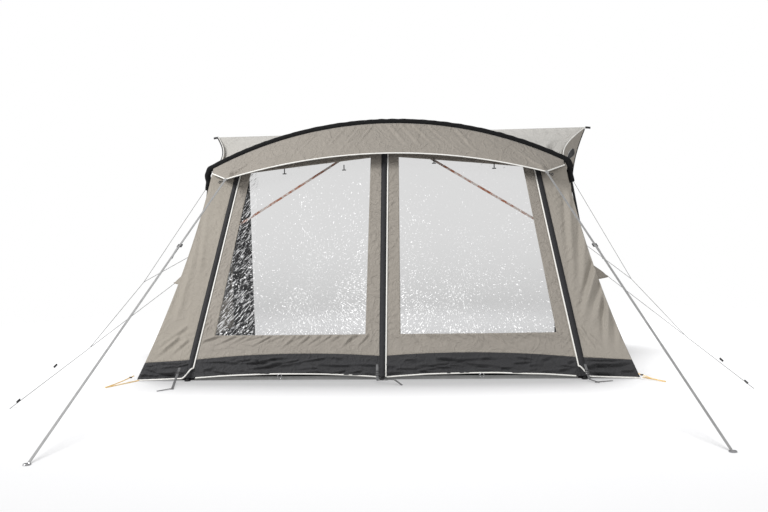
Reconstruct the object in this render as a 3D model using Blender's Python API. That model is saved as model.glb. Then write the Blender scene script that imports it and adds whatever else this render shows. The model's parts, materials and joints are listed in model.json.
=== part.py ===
"""A poled caravan awning: an arched front beam, two clear front bays, splayed wings and a beaded rail edge.

Metres, +Z up. The origin is on the ground under the centre pole's foot, +X is to the right seen from
outside, and +Y runs back towards the caravan. Fabric is drawn thicker than real cloth, in panels that
meet on shared seams: each panel is ruled between curves, with one skin outside and one inside.
"""

import math

import bmesh
import bpy
from mathutils import Vector

# The beaded edge that slides into the caravan's rail
RAIL_HALF = 1.985
RAIL_HEIGHT = 2.256
DEPTH = 2.50
BEAD_RADIUS = 0.005
BEAD_FLANGE = 0.030

# The arched seam between the roof and the front, with its shoulder at each end
SEAM_Y = 0.75
SEAM_TOP = 2.165
SHOULDER_X = 1.585
SHOULDER_Z = 1.790
SEAM_SAG = SEAM_TOP - SHOULDER_Z
SEAM_RADIUS = (SHOULDER_X**2 + SEAM_SAG**2) / (2 * SEAM_SAG)

# The front at the ground: pole seam, then the wing's outer corner
POLE_SEAM_FOOT = 1.60
POLE_SEAM_TOP = 1.27
CORNER_FOOT = Vector((2.09, 0.01, 0.004))
REAR_FOOT = Vector((1.85, DEPTH, 0.0))
HEM_LOW = 0.022
HEM_RISE = 0.032
EDGE_BOW = 0.060
SIDE_SAG = 0.045
EAVE_BOW = 0.085
EAVE_BOW_POWER = 0.85
REAR_BOW = 0.115
REAR_BOW_POWER = 2.3

# Cloth, and the seam gap between neighbouring panels
CLOTH = 0.006
FILM = 0.003
SEAM_GAP = 0.0002
TOUCH = 0.0004

# Poles and sleeves
SLEEVE_RADIUS = 0.028
SLEEVE_RUN = 0.08
SLEEVE_CLEARANCE = 0.010
SLEEVE_BEND = ((SHOULDER_X + 0.024, SEAM_Y - 0.006, SHOULDER_Z + 0.020),
               (SHOULDER_X + 0.033, SEAM_Y - 0.002, SHOULDER_Z + 0.003),
               (SHOULDER_X + 0.049, SEAM_Y + 0.006, SHOULDER_Z - 0.036))
LEG_RADIUS = 0.011
LEG_CLEARANCE = 0.012
LEG_HEAD = (0.80, 0.888)
LEG_FOOT_Y = 1.30
STRIP_WIDTH = 0.058
STRIP_THICK = 0.016
STRIP_TOP = 0.955
STRIP_START = 0.03
FOOT_RADIUS = 0.026
FOOT_HEIGHT = 0.012

# The skirt, as a share of the way from hem to top; the front windows, in metres up and shares across
SKIRT_SHARE = 0.078
WINDOW_LOW = 0.365
WINDOW_HIGH_INNER = 1.870
WINDOW_HIGH_OUTER = 1.762
WINDOW_INNER = 0.095
WINDOW_OUTER = 0.930
SIDE_WINDOW = (0.50, 0.92, 0.24, 0.84)

# The peak that hangs from the front beam
PEAK_CORNER = Vector((1.40, 0.50, 1.707))
PEAK_MIDDLE_Z = 1.900
PEAK_POWER = 2.0
PEAK_CREASE = 0.86
PEAK_RETURN = (SHOULDER_X - 0.008, SEAM_Y - 0.045, SHOULDER_Z - 0.020)
PEAK_THICK = 0.005

# Straps, lines and where they are pegged out by hand
STORM_PEGS = {"left": Vector((-1.746, -2.674, 0.0)), "right": Vector((2.155, -2.358, 0.0))}
SIDE_PEGS = {"left": Vector((-2.622, -1.151, 0.0)), "right": Vector((2.834, -0.480, 0.0))}
CORNER_PEGS = {"left": Vector((-2.228, -0.316, 0.0)), "right": Vector((2.247, -0.164, 0.0))}
ANKLE_LENGTH = 0.030
DRAUGHT_TOP = 0.125
DRAUGHT_THICK = 0.004
CORNER_INSET = 0.066
GROUND_STRAP_HEIGHT = 0.030
ELASTIC_WIDTH = 0.018
ELASTIC_THICK = 0.006
LINE_JOINS = {"left": Vector((-2.100, 0.296, 0.819)), "right": Vector((2.116, 0.550, 0.768))}
LINE_JOIN_SHARE = 0.42
LINE_RADIUS = 0.002
WEBBING = 0.017
WEBBING_THICK = 0.003
RING_RADIUS = 0.020
RING_WIRE = 0.004

SIDES = {"left": -1.0, "right": 1.0}

COLOURS = {
    "taupe_cloth": ((0.42, 0.37, 0.32), 0.80, 0.0),
    "grey_cloth": ((0.50, 0.48, 0.44), 0.80, 0.0),
    "charcoal_cloth": ((0.045, 0.045, 0.048), 0.75, 0.0),
    "black_cloth": ((0.015, 0.015, 0.016), 0.70, 0.0),
    "clear_film": ((0.80, 0.82, 0.85), 0.10, 0.0),
    "tinted_film": ((0.05, 0.05, 0.055), 0.12, 0.0),
    "steel_pole": ((0.02, 0.02, 0.02), 0.45, 0.4),
    "grey_webbing": ((0.20, 0.20, 0.20), 0.75, 0.0),
    "yellow_elastic": ((0.85, 0.58, 0.22), 0.60, 0.0),
    "orange_band": ((0.62, 0.20, 0.06), 0.70, 0.0),
    "guy_line": ((0.35, 0.35, 0.34), 0.70, 0.0),
    "white_trim": ((0.85, 0.84, 0.80), 0.60, 0.0),
    "ring_steel": ((0.35, 0.36, 0.37), 0.35, 0.9),
    "black_plastic": ((0.02, 0.02, 0.022), 0.40, 0.0),
}


def clear_scene():
    for old in list(bpy.data.objects):
        bpy.data.objects.remove(old)


def material(name):
    """One Principled material for each finish, made when it is first asked for."""
    found = bpy.data.materials.get(name)
    if found:
        return found
    colour, roughness, metallic = COLOURS[name]
    made = bpy.data.materials.new(name)
    made.use_nodes = True
    shader = made.node_tree.nodes["Principled BSDF"]
    shader.inputs["Base Color"].default_value = (*colour, 1.0)
    shader.inputs["Roughness"].default_value = roughness
    shader.inputs["Metallic"].default_value = metallic
    return made


def add_object(name, shape, finish, smooth=False):
    """Turns a bmesh into a named object with its faces pointing outwards."""
    bmesh.ops.recalc_face_normals(shape, faces=shape.faces)
    mesh = bpy.data.meshes.new(name)
    shape.to_mesh(mesh)
    shape.free()
    mesh.materials.append(material(finish))
    if smooth:
        mesh.shade_smooth()
        mesh.set_sharp_from_angle(angle=math.radians(40))
    made = bpy.data.objects.new(name, mesh)
    bpy.context.collection.objects.link(made)
    return made


def between(a, b, share):
    return a + (b - a) * share


def mirrored(point, side):
    return Vector((point.x * side, point.y, point.z))


def steps(first, last, count):
    return [first + (last - first) * i / count for i in range(count + 1)]


def slab(name, outer, inner, finish, holes=()):
    """A sheet between two grids of points, outer[row][column] and inner[row][column].

    holes holds the (row, column) cells that are left open.
    """
    shape = bmesh.new()
    skins = [[[shape.verts.new(p) for p in row] for row in grid] for grid in (outer, inner)]
    rows, columns = len(outer) - 1, len(outer[0]) - 1
    solid = {(r, c) for r in range(rows) for c in range(columns)} - set(holes)
    for r, c in sorted(solid):
        for skin in skins:
            shape.faces.new((skin[r][c], skin[r][c + 1], skin[r + 1][c + 1], skin[r + 1][c]))
        rims = (
            ((r - 1, c), (r, c), (r, c + 1)),
            ((r + 1, c), (r + 1, c), (r + 1, c + 1)),
            ((r, c - 1), (r, c), (r + 1, c)),
            ((r, c + 1), (r, c + 1), (r + 1, c + 1)),
        )
        for neighbour, a, b in rims:
            if neighbour not in solid:
                far, near = skins
                shape.faces.new((far[a[0]][a[1]], far[b[0]][b[1]], near[b[0]][b[1]], near[a[0]][a[1]]))
    loose = [v for v in shape.verts if not v.link_faces]
    bmesh.ops.delete(shape, geom=loose, context="VERTS")
    return add_object(name, shape, finish)


def tube(name, path, radius, finish, sides=12):
    """A round bar along a list of points, capped at both ends; radius is one value or one for each point."""
    shape = bmesh.new()
    radii = radius if isinstance(radius, list) else [radius] * len(path)
    guide = None
    rings = []
    for i, centre in enumerate(path):
        ahead = path[min(i + 1, len(path) - 1)] - path[max(i - 1, 0)]
        ahead.normalize()
        if guide is None:
            guide = Vector((0, 1, 0)) if abs(ahead.y) < 0.9 else Vector((1, 0, 0))
        guide = (guide - ahead * guide.dot(ahead)).normalized()
        across = ahead.cross(guide)
        angles = [2 * math.pi * k / sides for k in range(sides)]
        rings.append(
            [shape.verts.new(centre + radii[i] * (guide * math.cos(a) + across * math.sin(a))) for a in angles]
        )
    for low, high in zip(rings, rings[1:]):
        for k in range(sides):
            shape.faces.new((low[k], low[(k + 1) % sides], high[(k + 1) % sides], high[k]))
    shape.faces.new(rings[0])
    shape.faces.new(rings[-1])
    return add_object(name, shape, finish, smooth=True)


def strap(name, path, across, finish, width=WEBBING, thick=WEBBING_THICK):
    """Flat webbing along a list of points, with its width along across."""
    shape = bmesh.new()
    rings = []
    for i, centre in enumerate(path):
        ahead = (path[min(i + 1, len(path) - 1)] - path[max(i - 1, 0)]).normalized()
        wide = (across - ahead * across.dot(ahead)).normalized() * (width / 2)
        deep = ahead.cross(wide).normalized() * (thick / 2)
        rings.append([shape.verts.new(centre + p) for p in (wide + deep, wide - deep, -wide - deep, deep - wide)])
    for low, high in zip(rings, rings[1:]):
        for k in range(4):
            shape.faces.new((low[k], low[(k + 1) % 4], high[(k + 1) % 4], high[k]))
    shape.faces.new(rings[0])
    shape.faces.new(rings[-1])
    return add_object(name, shape, finish)


def ring(name, centre, radius, wire, finish, turns=24, sides=8):
    """A wire ring lying flat on the ground around a peg hole."""
    shape = bmesh.new()
    loops = []
    for i in range(turns):
        angle = 2 * math.pi * i / turns
        out = Vector((math.cos(angle), math.sin(angle), 0))
        loops.append(
            [
                shape.verts.new(
                    centre
                    + out * (radius + wire * math.cos(2 * math.pi * (k + 0.5) / sides))
                    + Vector((0, 0, wire_height(wire, k, sides)))
                )
                for k in range(sides)
            ]
        )
    for i in range(turns):
        low, high = loops[i], loops[(i + 1) % turns]
        for k in range(sides):
            shape.faces.new((low[k], low[(k + 1) % sides], high[(k + 1) % sides], high[k]))
    return add_object(name, shape, finish, smooth=True)


def wire_height(wire, k, sides):
    """Height of a ring's k-th side, so that the lowest flat of the wire lies on the ground."""
    lowest = -math.sin(2 * math.pi * 0.5 / sides + math.pi * (0.5 - 1 / sides))
    return wire * (math.sin(2 * math.pi * (k + 0.5) / sides) - lowest)


# The curves that neighbouring panels share. skin is 0 outside and 1 inside.
def seam_point(x, skin=0):
    """A point on the arched seam over the front, at this x."""
    drop = SEAM_RADIUS - math.sqrt(SEAM_RADIUS**2 - x**2)
    past_pole = max(0.0, (abs(x) - POLE_SEAM_TOP) / (SHOULDER_X - POLE_SEAM_TOP))
    inward = Vector((-CLOTH * past_pole * math.copysign(1, x), 0.8 * CLOTH, -CLOTH)) * skin
    return Vector((x, SEAM_Y, SEAM_TOP - drop)) + inward


def hem_point(x, skin=0):
    """A point on the front wall's hem: it is held down at the poles and lifts between them."""
    share = abs(x) / POLE_SEAM_FOOT
    return Vector((x, CLOTH * skin, HEM_LOW + HEM_RISE * 4 * share * (1 - share)))


def corner_foot(skin=0):
    return CORNER_FOOT + Vector((-CLOTH, CLOTH, 0)) * skin


def rear_foot(skin=0):
    return REAR_FOOT + Vector((-CLOTH, 0, 0)) * skin


def rail_end(skin=0):
    return Vector((RAIL_HALF, DEPTH, RAIL_HEIGHT)) + Vector((-CLOTH, 0, -CLOTH)) * skin


def front_point(u, v, skin=0):
    """Front wall, right bay: u from the centre seam to the pole seam, v from the hem to the arched seam."""
    return between(hem_point(u * POLE_SEAM_FOOT, skin), seam_point(u * POLE_SEAM_TOP, skin), v)


def wing_point(u, v, skin=0):
    """Wing: u from the pole seam to the outer corner, whose edge bows inwards between ground and shoulder."""
    low = between(hem_point(POLE_SEAM_FOOT, skin), corner_foot(skin), u)
    high = seam_point(POLE_SEAM_TOP + (SHOULDER_X - POLE_SEAM_TOP) * u, skin)
    bow = Vector((-EDGE_BOW * 4 * v * (1 - v) * u, 0, 0))
    return between(low, high, v) + bow


def hollow(share):
    """How far the eave is cut in, this share of the way from the shoulder to the rail."""
    return EAVE_BOW * math.sin(math.pi * max(share, 0.0) ** EAVE_BOW_POWER)


def eave_point(u, skin=0):
    """The eave between roof and side wall, cut hollow: u from the shoulder back to the rail's end."""
    return between(seam_point(SHOULDER_X, skin), rail_end(skin), u) - Vector((hollow(u), 0, 0))


def side_point(u, v, skin=0):
    """Side wall: u from the outer corner back to the caravan, v from the ground to the eave, drawn inwards."""
    low = between(corner_foot(skin), rear_foot(skin), u)
    rounded = 4 * v * (1 - v)
    inward = EDGE_BOW * rounded * (1 - u) + SIDE_SAG * rounded * 4 * u * (1 - u)
    inward += REAR_BOW * math.sin(math.pi * max(v, 0.0) ** REAR_BOW_POWER) * u
    return between(low, eave_point(u, skin), v) - Vector((inward, 0, 0))


def roof_point(u, v, skin=0):
    """Roof, right half: u from the centre to the eave, v from the arched seam back to the rail."""
    low = seam_point(u * SHOULDER_X, skin)
    high = Vector((u * RAIL_HALF, DEPTH, RAIL_HEIGHT)) + Vector((-CLOTH * u, 0, -CLOTH)) * skin
    return between(low, high, v) - Vector((hollow(v) * u, 0, 0))


def normal_at(surface, u, v):
    """Outward direction of a wall function at a point, on the right-hand side."""
    small = 0.01
    along_u = surface(u + small, v) - surface(u - small, v)
    along_v = surface(u, v + small) - surface(u, v - small)
    found = along_u.cross(along_v).normalized()
    inward = surface(u, v, 1) - surface(u, v, 0)
    return -found if found.dot(inward) > 0 else found


def off_surface(surface, u, v, distance):
    return surface(u, v) + normal_at(surface, u, v) * distance


def tucked(values, size):
    """Draws the first and last of these shares in by half a seam gap on an edge of this real size."""
    inset = SEAM_GAP / size
    return [values[0] + inset, *values[1:-1], values[-1] - inset]


def grids(surface, us, v_rows, side, deep=(0.0, 1.0)):
    """Outer and inner grids of a wall function; each entry of v_rows is a function of u or a value."""
    made = []
    for share in deep:
        made.append(
            [
                [
                    mirrored(between(surface(u, rise(v, u), 0), surface(u, rise(v, u), 1), share), side)
                    for u in us
                ]
                for v in v_rows
            ]
        )
    return made


def rise(v, u):
    return v(u) if callable(v) else v


def raised(level, gap):
    """A height function moved up by a small share."""
    return lambda u: rise(level, u) + gap


def share_at(u, z):
    """Share of the front wall's height that lies this high above the ground."""
    low, high = hem_point(u * POLE_SEAM_FOOT).z, seam_point(u * POLE_SEAM_TOP).z
    return (z - low) / (high - low)


def window_bottom(u):
    return share_at(u, WINDOW_LOW)


def window_top(u):
    across = (u - WINDOW_INNER) / (WINDOW_OUTER - WINDOW_INNER)
    return share_at(u, between(WINDOW_HIGH_INNER, WINDOW_HIGH_OUTER, across))


# Neighbouring panels share these columns and rows along their seams
BAY_COLUMNS = [0.0, *steps(WINDOW_INNER, WINDOW_OUTER, 8), 1.0]
WING_COLUMNS = steps(0, 1, 4)
SIDE_COLUMNS = [*steps(0, SIDE_WINDOW[0], 6)[:-1], *steps(SIDE_WINDOW[0], SIDE_WINDOW[1], 4), 1.0]
ROOF_COLUMNS = [u * POLE_SEAM_TOP / SHOULDER_X for u in BAY_COLUMNS[:-1]] + [
    (POLE_SEAM_TOP + (SHOULDER_X - POLE_SEAM_TOP) * u) / SHOULDER_X for u in WING_COLUMNS
]
WALL_ROWS = [0.16, *steps(SIDE_WINDOW[2], SIDE_WINDOW[3], 6), 0.89, 0.94]


def build_front(word, side):
    """One front bay: charcoal skirt, taupe wall with its window cut through, and the clear film in it."""
    gap = SEAM_GAP / SEAM_TOP
    us = tucked(BAY_COLUMNS, POLE_SEAM_FOOT)
    rows = [gap, SKIRT_SHARE - gap]
    slab(f"front_skirt_{word}", *grids(front_point, us, rows, side), "charcoal_cloth")
    rows = [SKIRT_SHARE + gap, window_bottom, window_top, 1 - gap]
    holes = [(1, column) for column in range(1, len(us) - 2)]
    slab(f"front_wall_{word}", *grids(front_point, us, rows, side), "taupe_cloth", holes)
    film_us = tucked(BAY_COLUMNS[1:-1], POLE_SEAM_FOOT)
    rows = [raised(window_bottom, gap), raised(window_top, -gap)]
    deep = (0.5 - FILM / CLOTH / 2, 0.5 + FILM / CLOTH / 2)
    slab(f"front_window_{word}", *grids(front_point, film_us, rows, side, deep), "clear_film")


def build_wing(word, side):
    """The splayed panel between the pole seam and the outer corner, with its skirt."""
    gap = SEAM_GAP / SHOULDER_Z
    us = tucked(WING_COLUMNS, CORNER_FOOT.x - POLE_SEAM_FOOT)
    rows = [gap, SKIRT_SHARE - gap]
    slab(f"wing_skirt_{word}", *grids(wing_point, us, rows, side), "charcoal_cloth")
    rows = [SKIRT_SHARE + gap, *WALL_ROWS, 1 - gap]
    slab(f"wing_wall_{word}", *grids(wing_point, us, rows, side), "taupe_cloth")


def build_side(word, side):
    """The side wall back to the caravan: skirt, taupe wall and a tinted window."""
    gap = SEAM_GAP / SHOULDER_Z
    us = tucked(SIDE_COLUMNS, DEPTH)
    rows = [gap, SKIRT_SHARE - gap]
    slab(f"side_skirt_{word}", *grids(side_point, us, rows, side), "charcoal_cloth")
    low_u, high_u, low_v, high_v = SIDE_WINDOW
    window_us = steps(low_u, high_u, 4)
    window_vs = steps(low_v, high_v, 6)
    us = tucked(SIDE_COLUMNS, DEPTH)
    rows = [SKIRT_SHARE + gap, *WALL_ROWS, 1 - gap]
    holes = [
        (r, c)
        for r in range(len(rows) - 1)
        for c in range(len(us) - 1)
        if low_v <= rows[r] < high_v - gap and low_u <= us[c] < high_u - gap
    ]
    slab(f"side_wall_{word}", *grids(side_point, us, rows, side), "taupe_cloth", holes)
    deep = (0.5 - FILM / CLOTH / 2, 0.5 + FILM / CLOTH / 2)
    film = grids(side_point, tucked(window_us, DEPTH), tucked(window_vs, SHOULDER_Z), side, deep)
    slab(f"side_window_{word}", *film, "tinted_film")


def build_roof(word, side):
    us = tucked(ROOF_COLUMNS, SHOULDER_X)
    rows = tucked(SIDE_COLUMNS, DEPTH - SEAM_Y)
    slab(f"roof_{word}", *grids(roof_point, us, rows, side), "grey_cloth")


def beam_centre(x):
    """The front beam's centre line over the arched seam, resting on its ridge."""
    lift = Vector((x / SEAM_RADIUS, -0.30, 1.0)).normalized()
    return seam_point(x) + lift * (SLEEVE_RADIUS + TOUCH)


def wall_spot(y, v, distance):
    """A point off the side wall, this far back and at this share of its height."""
    front_y, back_y = side_point(0, v).y, side_point(1, v).y
    return off_surface(side_point, (y - front_y) / (back_y - front_y), v, distance)


def leg_ends():
    """The lower end of the beam's sleeve and the leg's foot, on one straight line outside the side wall."""
    head = wall_spot(*LEG_HEAD, SLEEVE_RADIUS + SLEEVE_CLEARANCE)
    foot = wall_spot(LEG_FOOT_Y, 0.0, LEG_RADIUS + LEG_CLEARANCE)
    return head, Vector((foot.x, foot.y, 0.0))


def build_beam():
    """The black-sleeved front beam from shoulder to shoulder, with a steel leg below each end."""
    head, foot = leg_ends()
    down = (foot - head).normalized()
    run = head - down * SLEEVE_RUN
    right = [Vector(p) for p in SLEEVE_BEND] + [run, head]
    left = [mirrored(p, -1) for p in reversed(right)]
    arch = [beam_centre(x) for x in steps(-SHOULDER_X, SHOULDER_X, 30)]
    tube("front_beam", left + arch + right, SLEEVE_RADIUS, "black_cloth", sides=14)
    ankle = foot - down * ANKLE_LENGTH
    for word, side in SIDES.items():
        path = [mirrored(p, side) for p in (head + down * TOUCH, ankle, Vector((ankle.x, ankle.y, 0.0)))]
        tube(f"beam_leg_{word}", path, LEG_RADIUS, "steel_pole", sides=10)


def peak_lower(t):
    """The peak's lower edge: an even curve to the crease, then the return back to the shoulder."""
    share = min(1.0, abs(t) / PEAK_CREASE)
    side = 1.0 if t >= 0 else -1.0
    z = PEAK_MIDDLE_Z - (PEAK_MIDDLE_Z - PEAK_CORNER.z) * share**PEAK_POWER
    point = Vector((PEAK_CORNER.x * share, PEAK_CORNER.y, z))
    if abs(t) > PEAK_CREASE:
        back = (abs(t) - PEAK_CREASE) / (1 - PEAK_CREASE)
        point = between(point, Vector(PEAK_RETURN), back)
    return mirrored(point, side)


def peak_upper(t):
    """The peak's upper edge, sewn along the front of the beam's sleeve."""
    x = t * (SHOULDER_X - 0.02)
    return beam_centre(x) + sewn_side(x) * (SLEEVE_RADIUS + TOUCH)


def sewn_side(x):
    """Direction from the beam's centre line to the front of its sleeve, where the peak is sewn on."""
    tilt = x / SEAM_RADIUS
    return Vector((-0.51 * tilt, -0.86, -0.51 * math.sqrt(1 - tilt**2)))


def build_peak():
    """The peak: one cloth from shoulder to shoulder, with a short return at each end."""
    half = [*steps(0, PEAK_CREASE, 12), PEAK_CREASE + 0.05, 0.97, 1.0]
    ts = [-t for t in reversed(half[1:])] + half
    outer, inner = [], []
    for share in steps(0, 1, 3):
        row = [between(peak_lower(t), peak_upper(t), share) for t in ts]
        outer.append(row)
        inner.append([p + Vector((0, 0.51, -0.86)) * PEAK_THICK for p in row])
    slab("front_peak", outer, inner, "taupe_cloth")


def strip_grid(surface, columns, side, top):
    """A flat sleeve lying on a wall; columns(v) gives the shares of the wall's width that it covers.

    A negative share lies on the other half, across the centre seam.
    """
    outer, inner = [], []
    for v in steps(0.0, top, 8):
        us = columns(v)
        bulge = [0.55] + [1.0] * (len(us) - 2) + [0.55]
        signs = [side * (-1 if u < 0 else 1) for u in us]
        inner.append([mirrored(off_surface(surface, abs(u), v, TOUCH), sign) for u, sign in zip(us, signs)])
        outer.append(
            [
                mirrored(off_surface(surface, abs(u), v, TOUCH + STRIP_THICK * b), sign)
                for u, sign, b in zip(us, signs, bulge)
            ]
        )
    return outer, inner


def wing_width(v):
    return (wing_point(1, v) - wing_point(0, v)).length


def foot_path(x, y, height):
    """Centres and radii of a turned pole foot: a wide pad, a shoulder and a spigot."""
    levels = [0.0, FOOT_HEIGHT * 0.55, FOOT_HEIGHT, height]
    radii = [FOOT_RADIUS, FOOT_RADIUS, LEG_RADIUS, LEG_RADIUS]
    return [Vector((x, y, z)) for z in levels], radii


def side_strip_columns(v):
    return steps(STRIP_START, STRIP_START + STRIP_WIDTH / wing_width(v), 3)


def centre_strip_columns(v):
    share = STRIP_WIDTH / 2 / (POLE_SEAM_FOOT + (POLE_SEAM_TOP - POLE_SEAM_FOOT) * v)
    return [-share, -share / 2, 0.0, share / 2, share]


def build_pole_strips():
    """Three front poles in charcoal sleeves, each on a turned foot."""
    for word, side in SIDES.items():
        outer, inner = strip_grid(wing_point, side_strip_columns, side, STRIP_TOP)
        slab(f"pole_sleeve_{word}", outer, inner, "charcoal_cloth")
        x = side * (POLE_SEAM_FOOT + STRIP_WIDTH * 0.75)
        lowest = wing_point(side_strip_columns(0)[-1], 0).z
        path, radii = foot_path(x, -STRIP_THICK / 2, lowest + 2 * TOUCH)
        tube(f"pole_foot_{word}", path, radii, "black_plastic", sides=20)
    slab("pole_sleeve_centre", *strip_grid(front_point, centre_strip_columns, 1.0, STRIP_TOP), "charcoal_cloth")
    path, radii = foot_path(0.0, 0.0, HEM_LOW - TOUCH)
    tube("pole_foot_centre", path, radii, "black_plastic", sides=20)


def draught_y(height):
    """How far back the draught skirt hangs: its top meets the front skirt, its foot clears the pole feet."""
    low, high = hem_point(POLE_SEAM_FOOT, 1), seam_point(POLE_SEAM_TOP, 1)
    lean = (high.y - low.y) / (high.z - low.z)
    top = low.y + lean * (DRAUGHT_TOP - low.z) + TOUCH
    foot = FOOT_RADIUS + WEBBING_THICK + 3 * TOUCH
    return between(foot, top, height / DRAUGHT_TOP)


def prism(name, corners, depth, finish):
    """A flat polygon of points pushed along a depth vector."""
    shape = bmesh.new()
    near = [shape.verts.new(p) for p in corners]
    far = [shape.verts.new(p + depth) for p in corners]
    shape.faces.new(near)
    shape.faces.new(far)
    for k in range(len(near)):
        after = (k + 1) % len(near)
        shape.faces.new((near[k], near[after], far[after], far[k]))
    return add_object(name, shape, finish)


def draught_line(height, behind):
    """The draught skirt at this height, from one outer corner to the other, this far behind its front face."""
    y = draught_y(height) + behind
    pole = Vector((POLE_SEAM_FOOT - CORNER_INSET, y, height))
    corner = Vector((CORNER_FOOT.x - CORNER_INSET, CORNER_FOOT.y + y + 2 * CLOTH, height))
    return [mirrored(corner, -1), mirrored(pole, -1), pole, corner]


def build_ground_pieces():
    """The black draught skirt behind the hem, and the webbing that spaces the pole feet along the ground."""
    levels = (0.0, DRAUGHT_TOP)
    front = [draught_line(height, 0.0) for height in levels]
    back = [draught_line(height, DRAUGHT_THICK) for height in levels]
    slab("draught_skirt", front, back, "black_cloth")
    half = POLE_SEAM_FOOT - 0.004
    y_strap = draught_y(0.0) - TOUCH - WEBBING_THICK
    top = GROUND_STRAP_HEIGHT
    band = [Vector((x, y_strap, z)) for x, z in ((-half, 0), (half, 0), (half, top), (-half, top))]
    prism("ground_strap", band, Vector((0, WEBBING_THICK, 0)), "grey_webbing")


FLAP_INNER_LOW = 1.615
FLAP_INNER_HIGH = 1.640
FLAP_LAP = 0.002


def build_rear(word, side):
    """The dark flap that lies against the caravan, inside each rear edge."""
    levels = [0.0, SKIRT_SHARE, *WALL_ROWS, 1.0]
    inset = CLOTH / DEPTH / (1 - SIDE_COLUMNS[-2])
    ends = [(side_point(1, v, 1).x, side_point(SIDE_COLUMNS[-2], v, 1).x) for v in levels]
    edge = [min(rear, between(rear, before, inset)) - 3 * TOUCH for rear, before in ends]
    heights = [side_point(1, v, 1).z for v in levels]
    heights[-1] -= FLAP_LAP
    outer = [Vector((x, DEPTH, z)) for x, z in zip(edge, heights)]
    corners = [Vector((FLAP_INNER_LOW, DEPTH, 0.0)), *outer, Vector((FLAP_INNER_HIGH, DEPTH, heights[-1]))]
    prism(
        f"rear_flap_{word}",
        [mirrored(p, side) for p in corners],
        Vector((0, -CLOTH, 0)),
        "charcoal_cloth",
    )


def build_rail():
    """The beaded edge: a flat flange sewn to the roof's rear edge, and the round bead behind it."""
    top = RAIL_HEIGHT
    centre_y = DEPTH + TOUCH + BEAD_FLANGE + BEAD_RADIUS * 0.8
    centre_z = top - CLOTH / 2
    start = math.asin(0.5)
    bead = [
        Vector((0, centre_y - BEAD_RADIUS * math.cos(a), centre_z + BEAD_RADIUS * math.sin(a)))
        for a in steps(start, 2 * math.pi - start, 10)
    ]
    flange = [
        Vector((0, DEPTH + TOUCH, centre_z - BEAD_RADIUS * 0.5)),
        Vector((0, DEPTH + TOUCH, centre_z + BEAD_RADIUS * 0.5)),
    ]
    profile = [p + Vector((-RAIL_HALF, 0, 0)) for p in flange + bead]
    prism("rail_bead", profile, Vector((2 * RAIL_HALF, 0, 0)), "white_trim")


TAB_LENGTH = 0.055


def build_tab(word, side):
    """The black tab that pulls the rail's end out."""
    start = Vector((RAIL_HALF + TOUCH, DEPTH + 0.012, RAIL_HEIGHT - CLOTH / 2))
    path = [start, start + Vector((TAB_LENGTH * 0.5, 0, -0.002)), start + Vector((TAB_LENGTH, 0, -0.006))]
    strap(
        f"rail_tab_{word}",
        [mirrored(p, side) for p in path],
        Vector((0, 0.6, 1)),
        "black_cloth",
        width=0.022,
        thick=0.008,
    )


HOOD_FRONT, HOOD_BACK = 0.09, 0.29
HOOD_LOW, HOOD_RISE = 0.405, 0.060
HOOD_OUT = 0.135
HOOD_CLOTH = 0.004
HOOD_SEAT = 0.0020
PATCH = (0.40, 0.58)


def hood_edge(share, lip):
    """The vent hood's outline on the wall, or its lip when lip is true."""
    u = HOOD_FRONT + (HOOD_BACK - HOOD_FRONT) * share
    lift = min(1.0, 5 * share, 5 * (1 - share))
    if lip:
        return off_surface(side_point, u, HOOD_LOW + 0.012 * (1 - lift), HOOD_SEAT + HOOD_OUT * lift)
    return off_surface(side_point, u, HOOD_LOW + 0.018 + HOOD_RISE * lift, HOOD_SEAT)


def build_hood(word, side):
    """The hooded vent on the side wall, held open by its line."""
    shares = [0.0, 0.1, 0.2, 0.4, 0.6, 0.8, 0.9, 1.0]
    outer, inner = [], []
    for rise_share in steps(0, 1, 2):
        row = [between(hood_edge(s, True), hood_edge(s, False), rise_share) for s in shares]
        outer.append([mirrored(p + Vector((HOOD_CLOTH, 0, HOOD_CLOTH)), side) for p in row])
        inner.append([mirrored(p, side) for p in row])
    slab(f"vent_hood_{word}", outer, inner, "taupe_cloth")


def build_storm_strap(word, side):
    """The storm strap from the peak's corner down to its ring, both pulled out in front."""
    peg = STORM_PEGS[word]
    corner = mirrored(peak_lower(PEAK_CREASE), side)
    ahead = (peg - corner).normalized()
    top = corner + ahead * 1.5 * TOUCH
    flat = Vector((ahead.x, ahead.y, 0)).normalized()
    ring(f"storm_ring_{word}", peg + flat * RING_RADIUS, RING_RADIUS, RING_WIRE, "ring_steel")
    wire_top = 2 * RING_WIRE
    end = peg + Vector((0, 0, wire_top + 0.0018))
    strap(f"storm_strap_{word}", [top, between(top, end, 0.22), end], flat.cross(Vector((0, 0, 1))), "grey_webbing")


def leave_sleeve(target, side):
    """Where a line to this point leaves the beam's sleeve, just under the bend."""
    head, foot = (mirrored(p, side) for p in leg_ends())
    along = (foot - head).normalized()
    centre = head - along * SLEEVE_RUN * 0.6
    ahead = (target - centre).normalized()
    lean = ahead.dot(along)
    return centre + ahead * (SLEEVE_RADIUS + LINE_RADIUS * lean + TOUCH) / math.sqrt(1 - lean**2)


def short_of(start, joint, ways):
    """Where a line from start stops, just clear of another line that leaves the joint along these ways."""
    back = (start - joint).normalized()
    leans = [max(0.0, way.normalized().dot(back)) for way in ways]
    reaches = [(LINE_RADIUS * (1 + lean) + TOUCH) / math.sqrt(1 - lean**2) for lean in leans]
    return joint + back * max(reaches)


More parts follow.
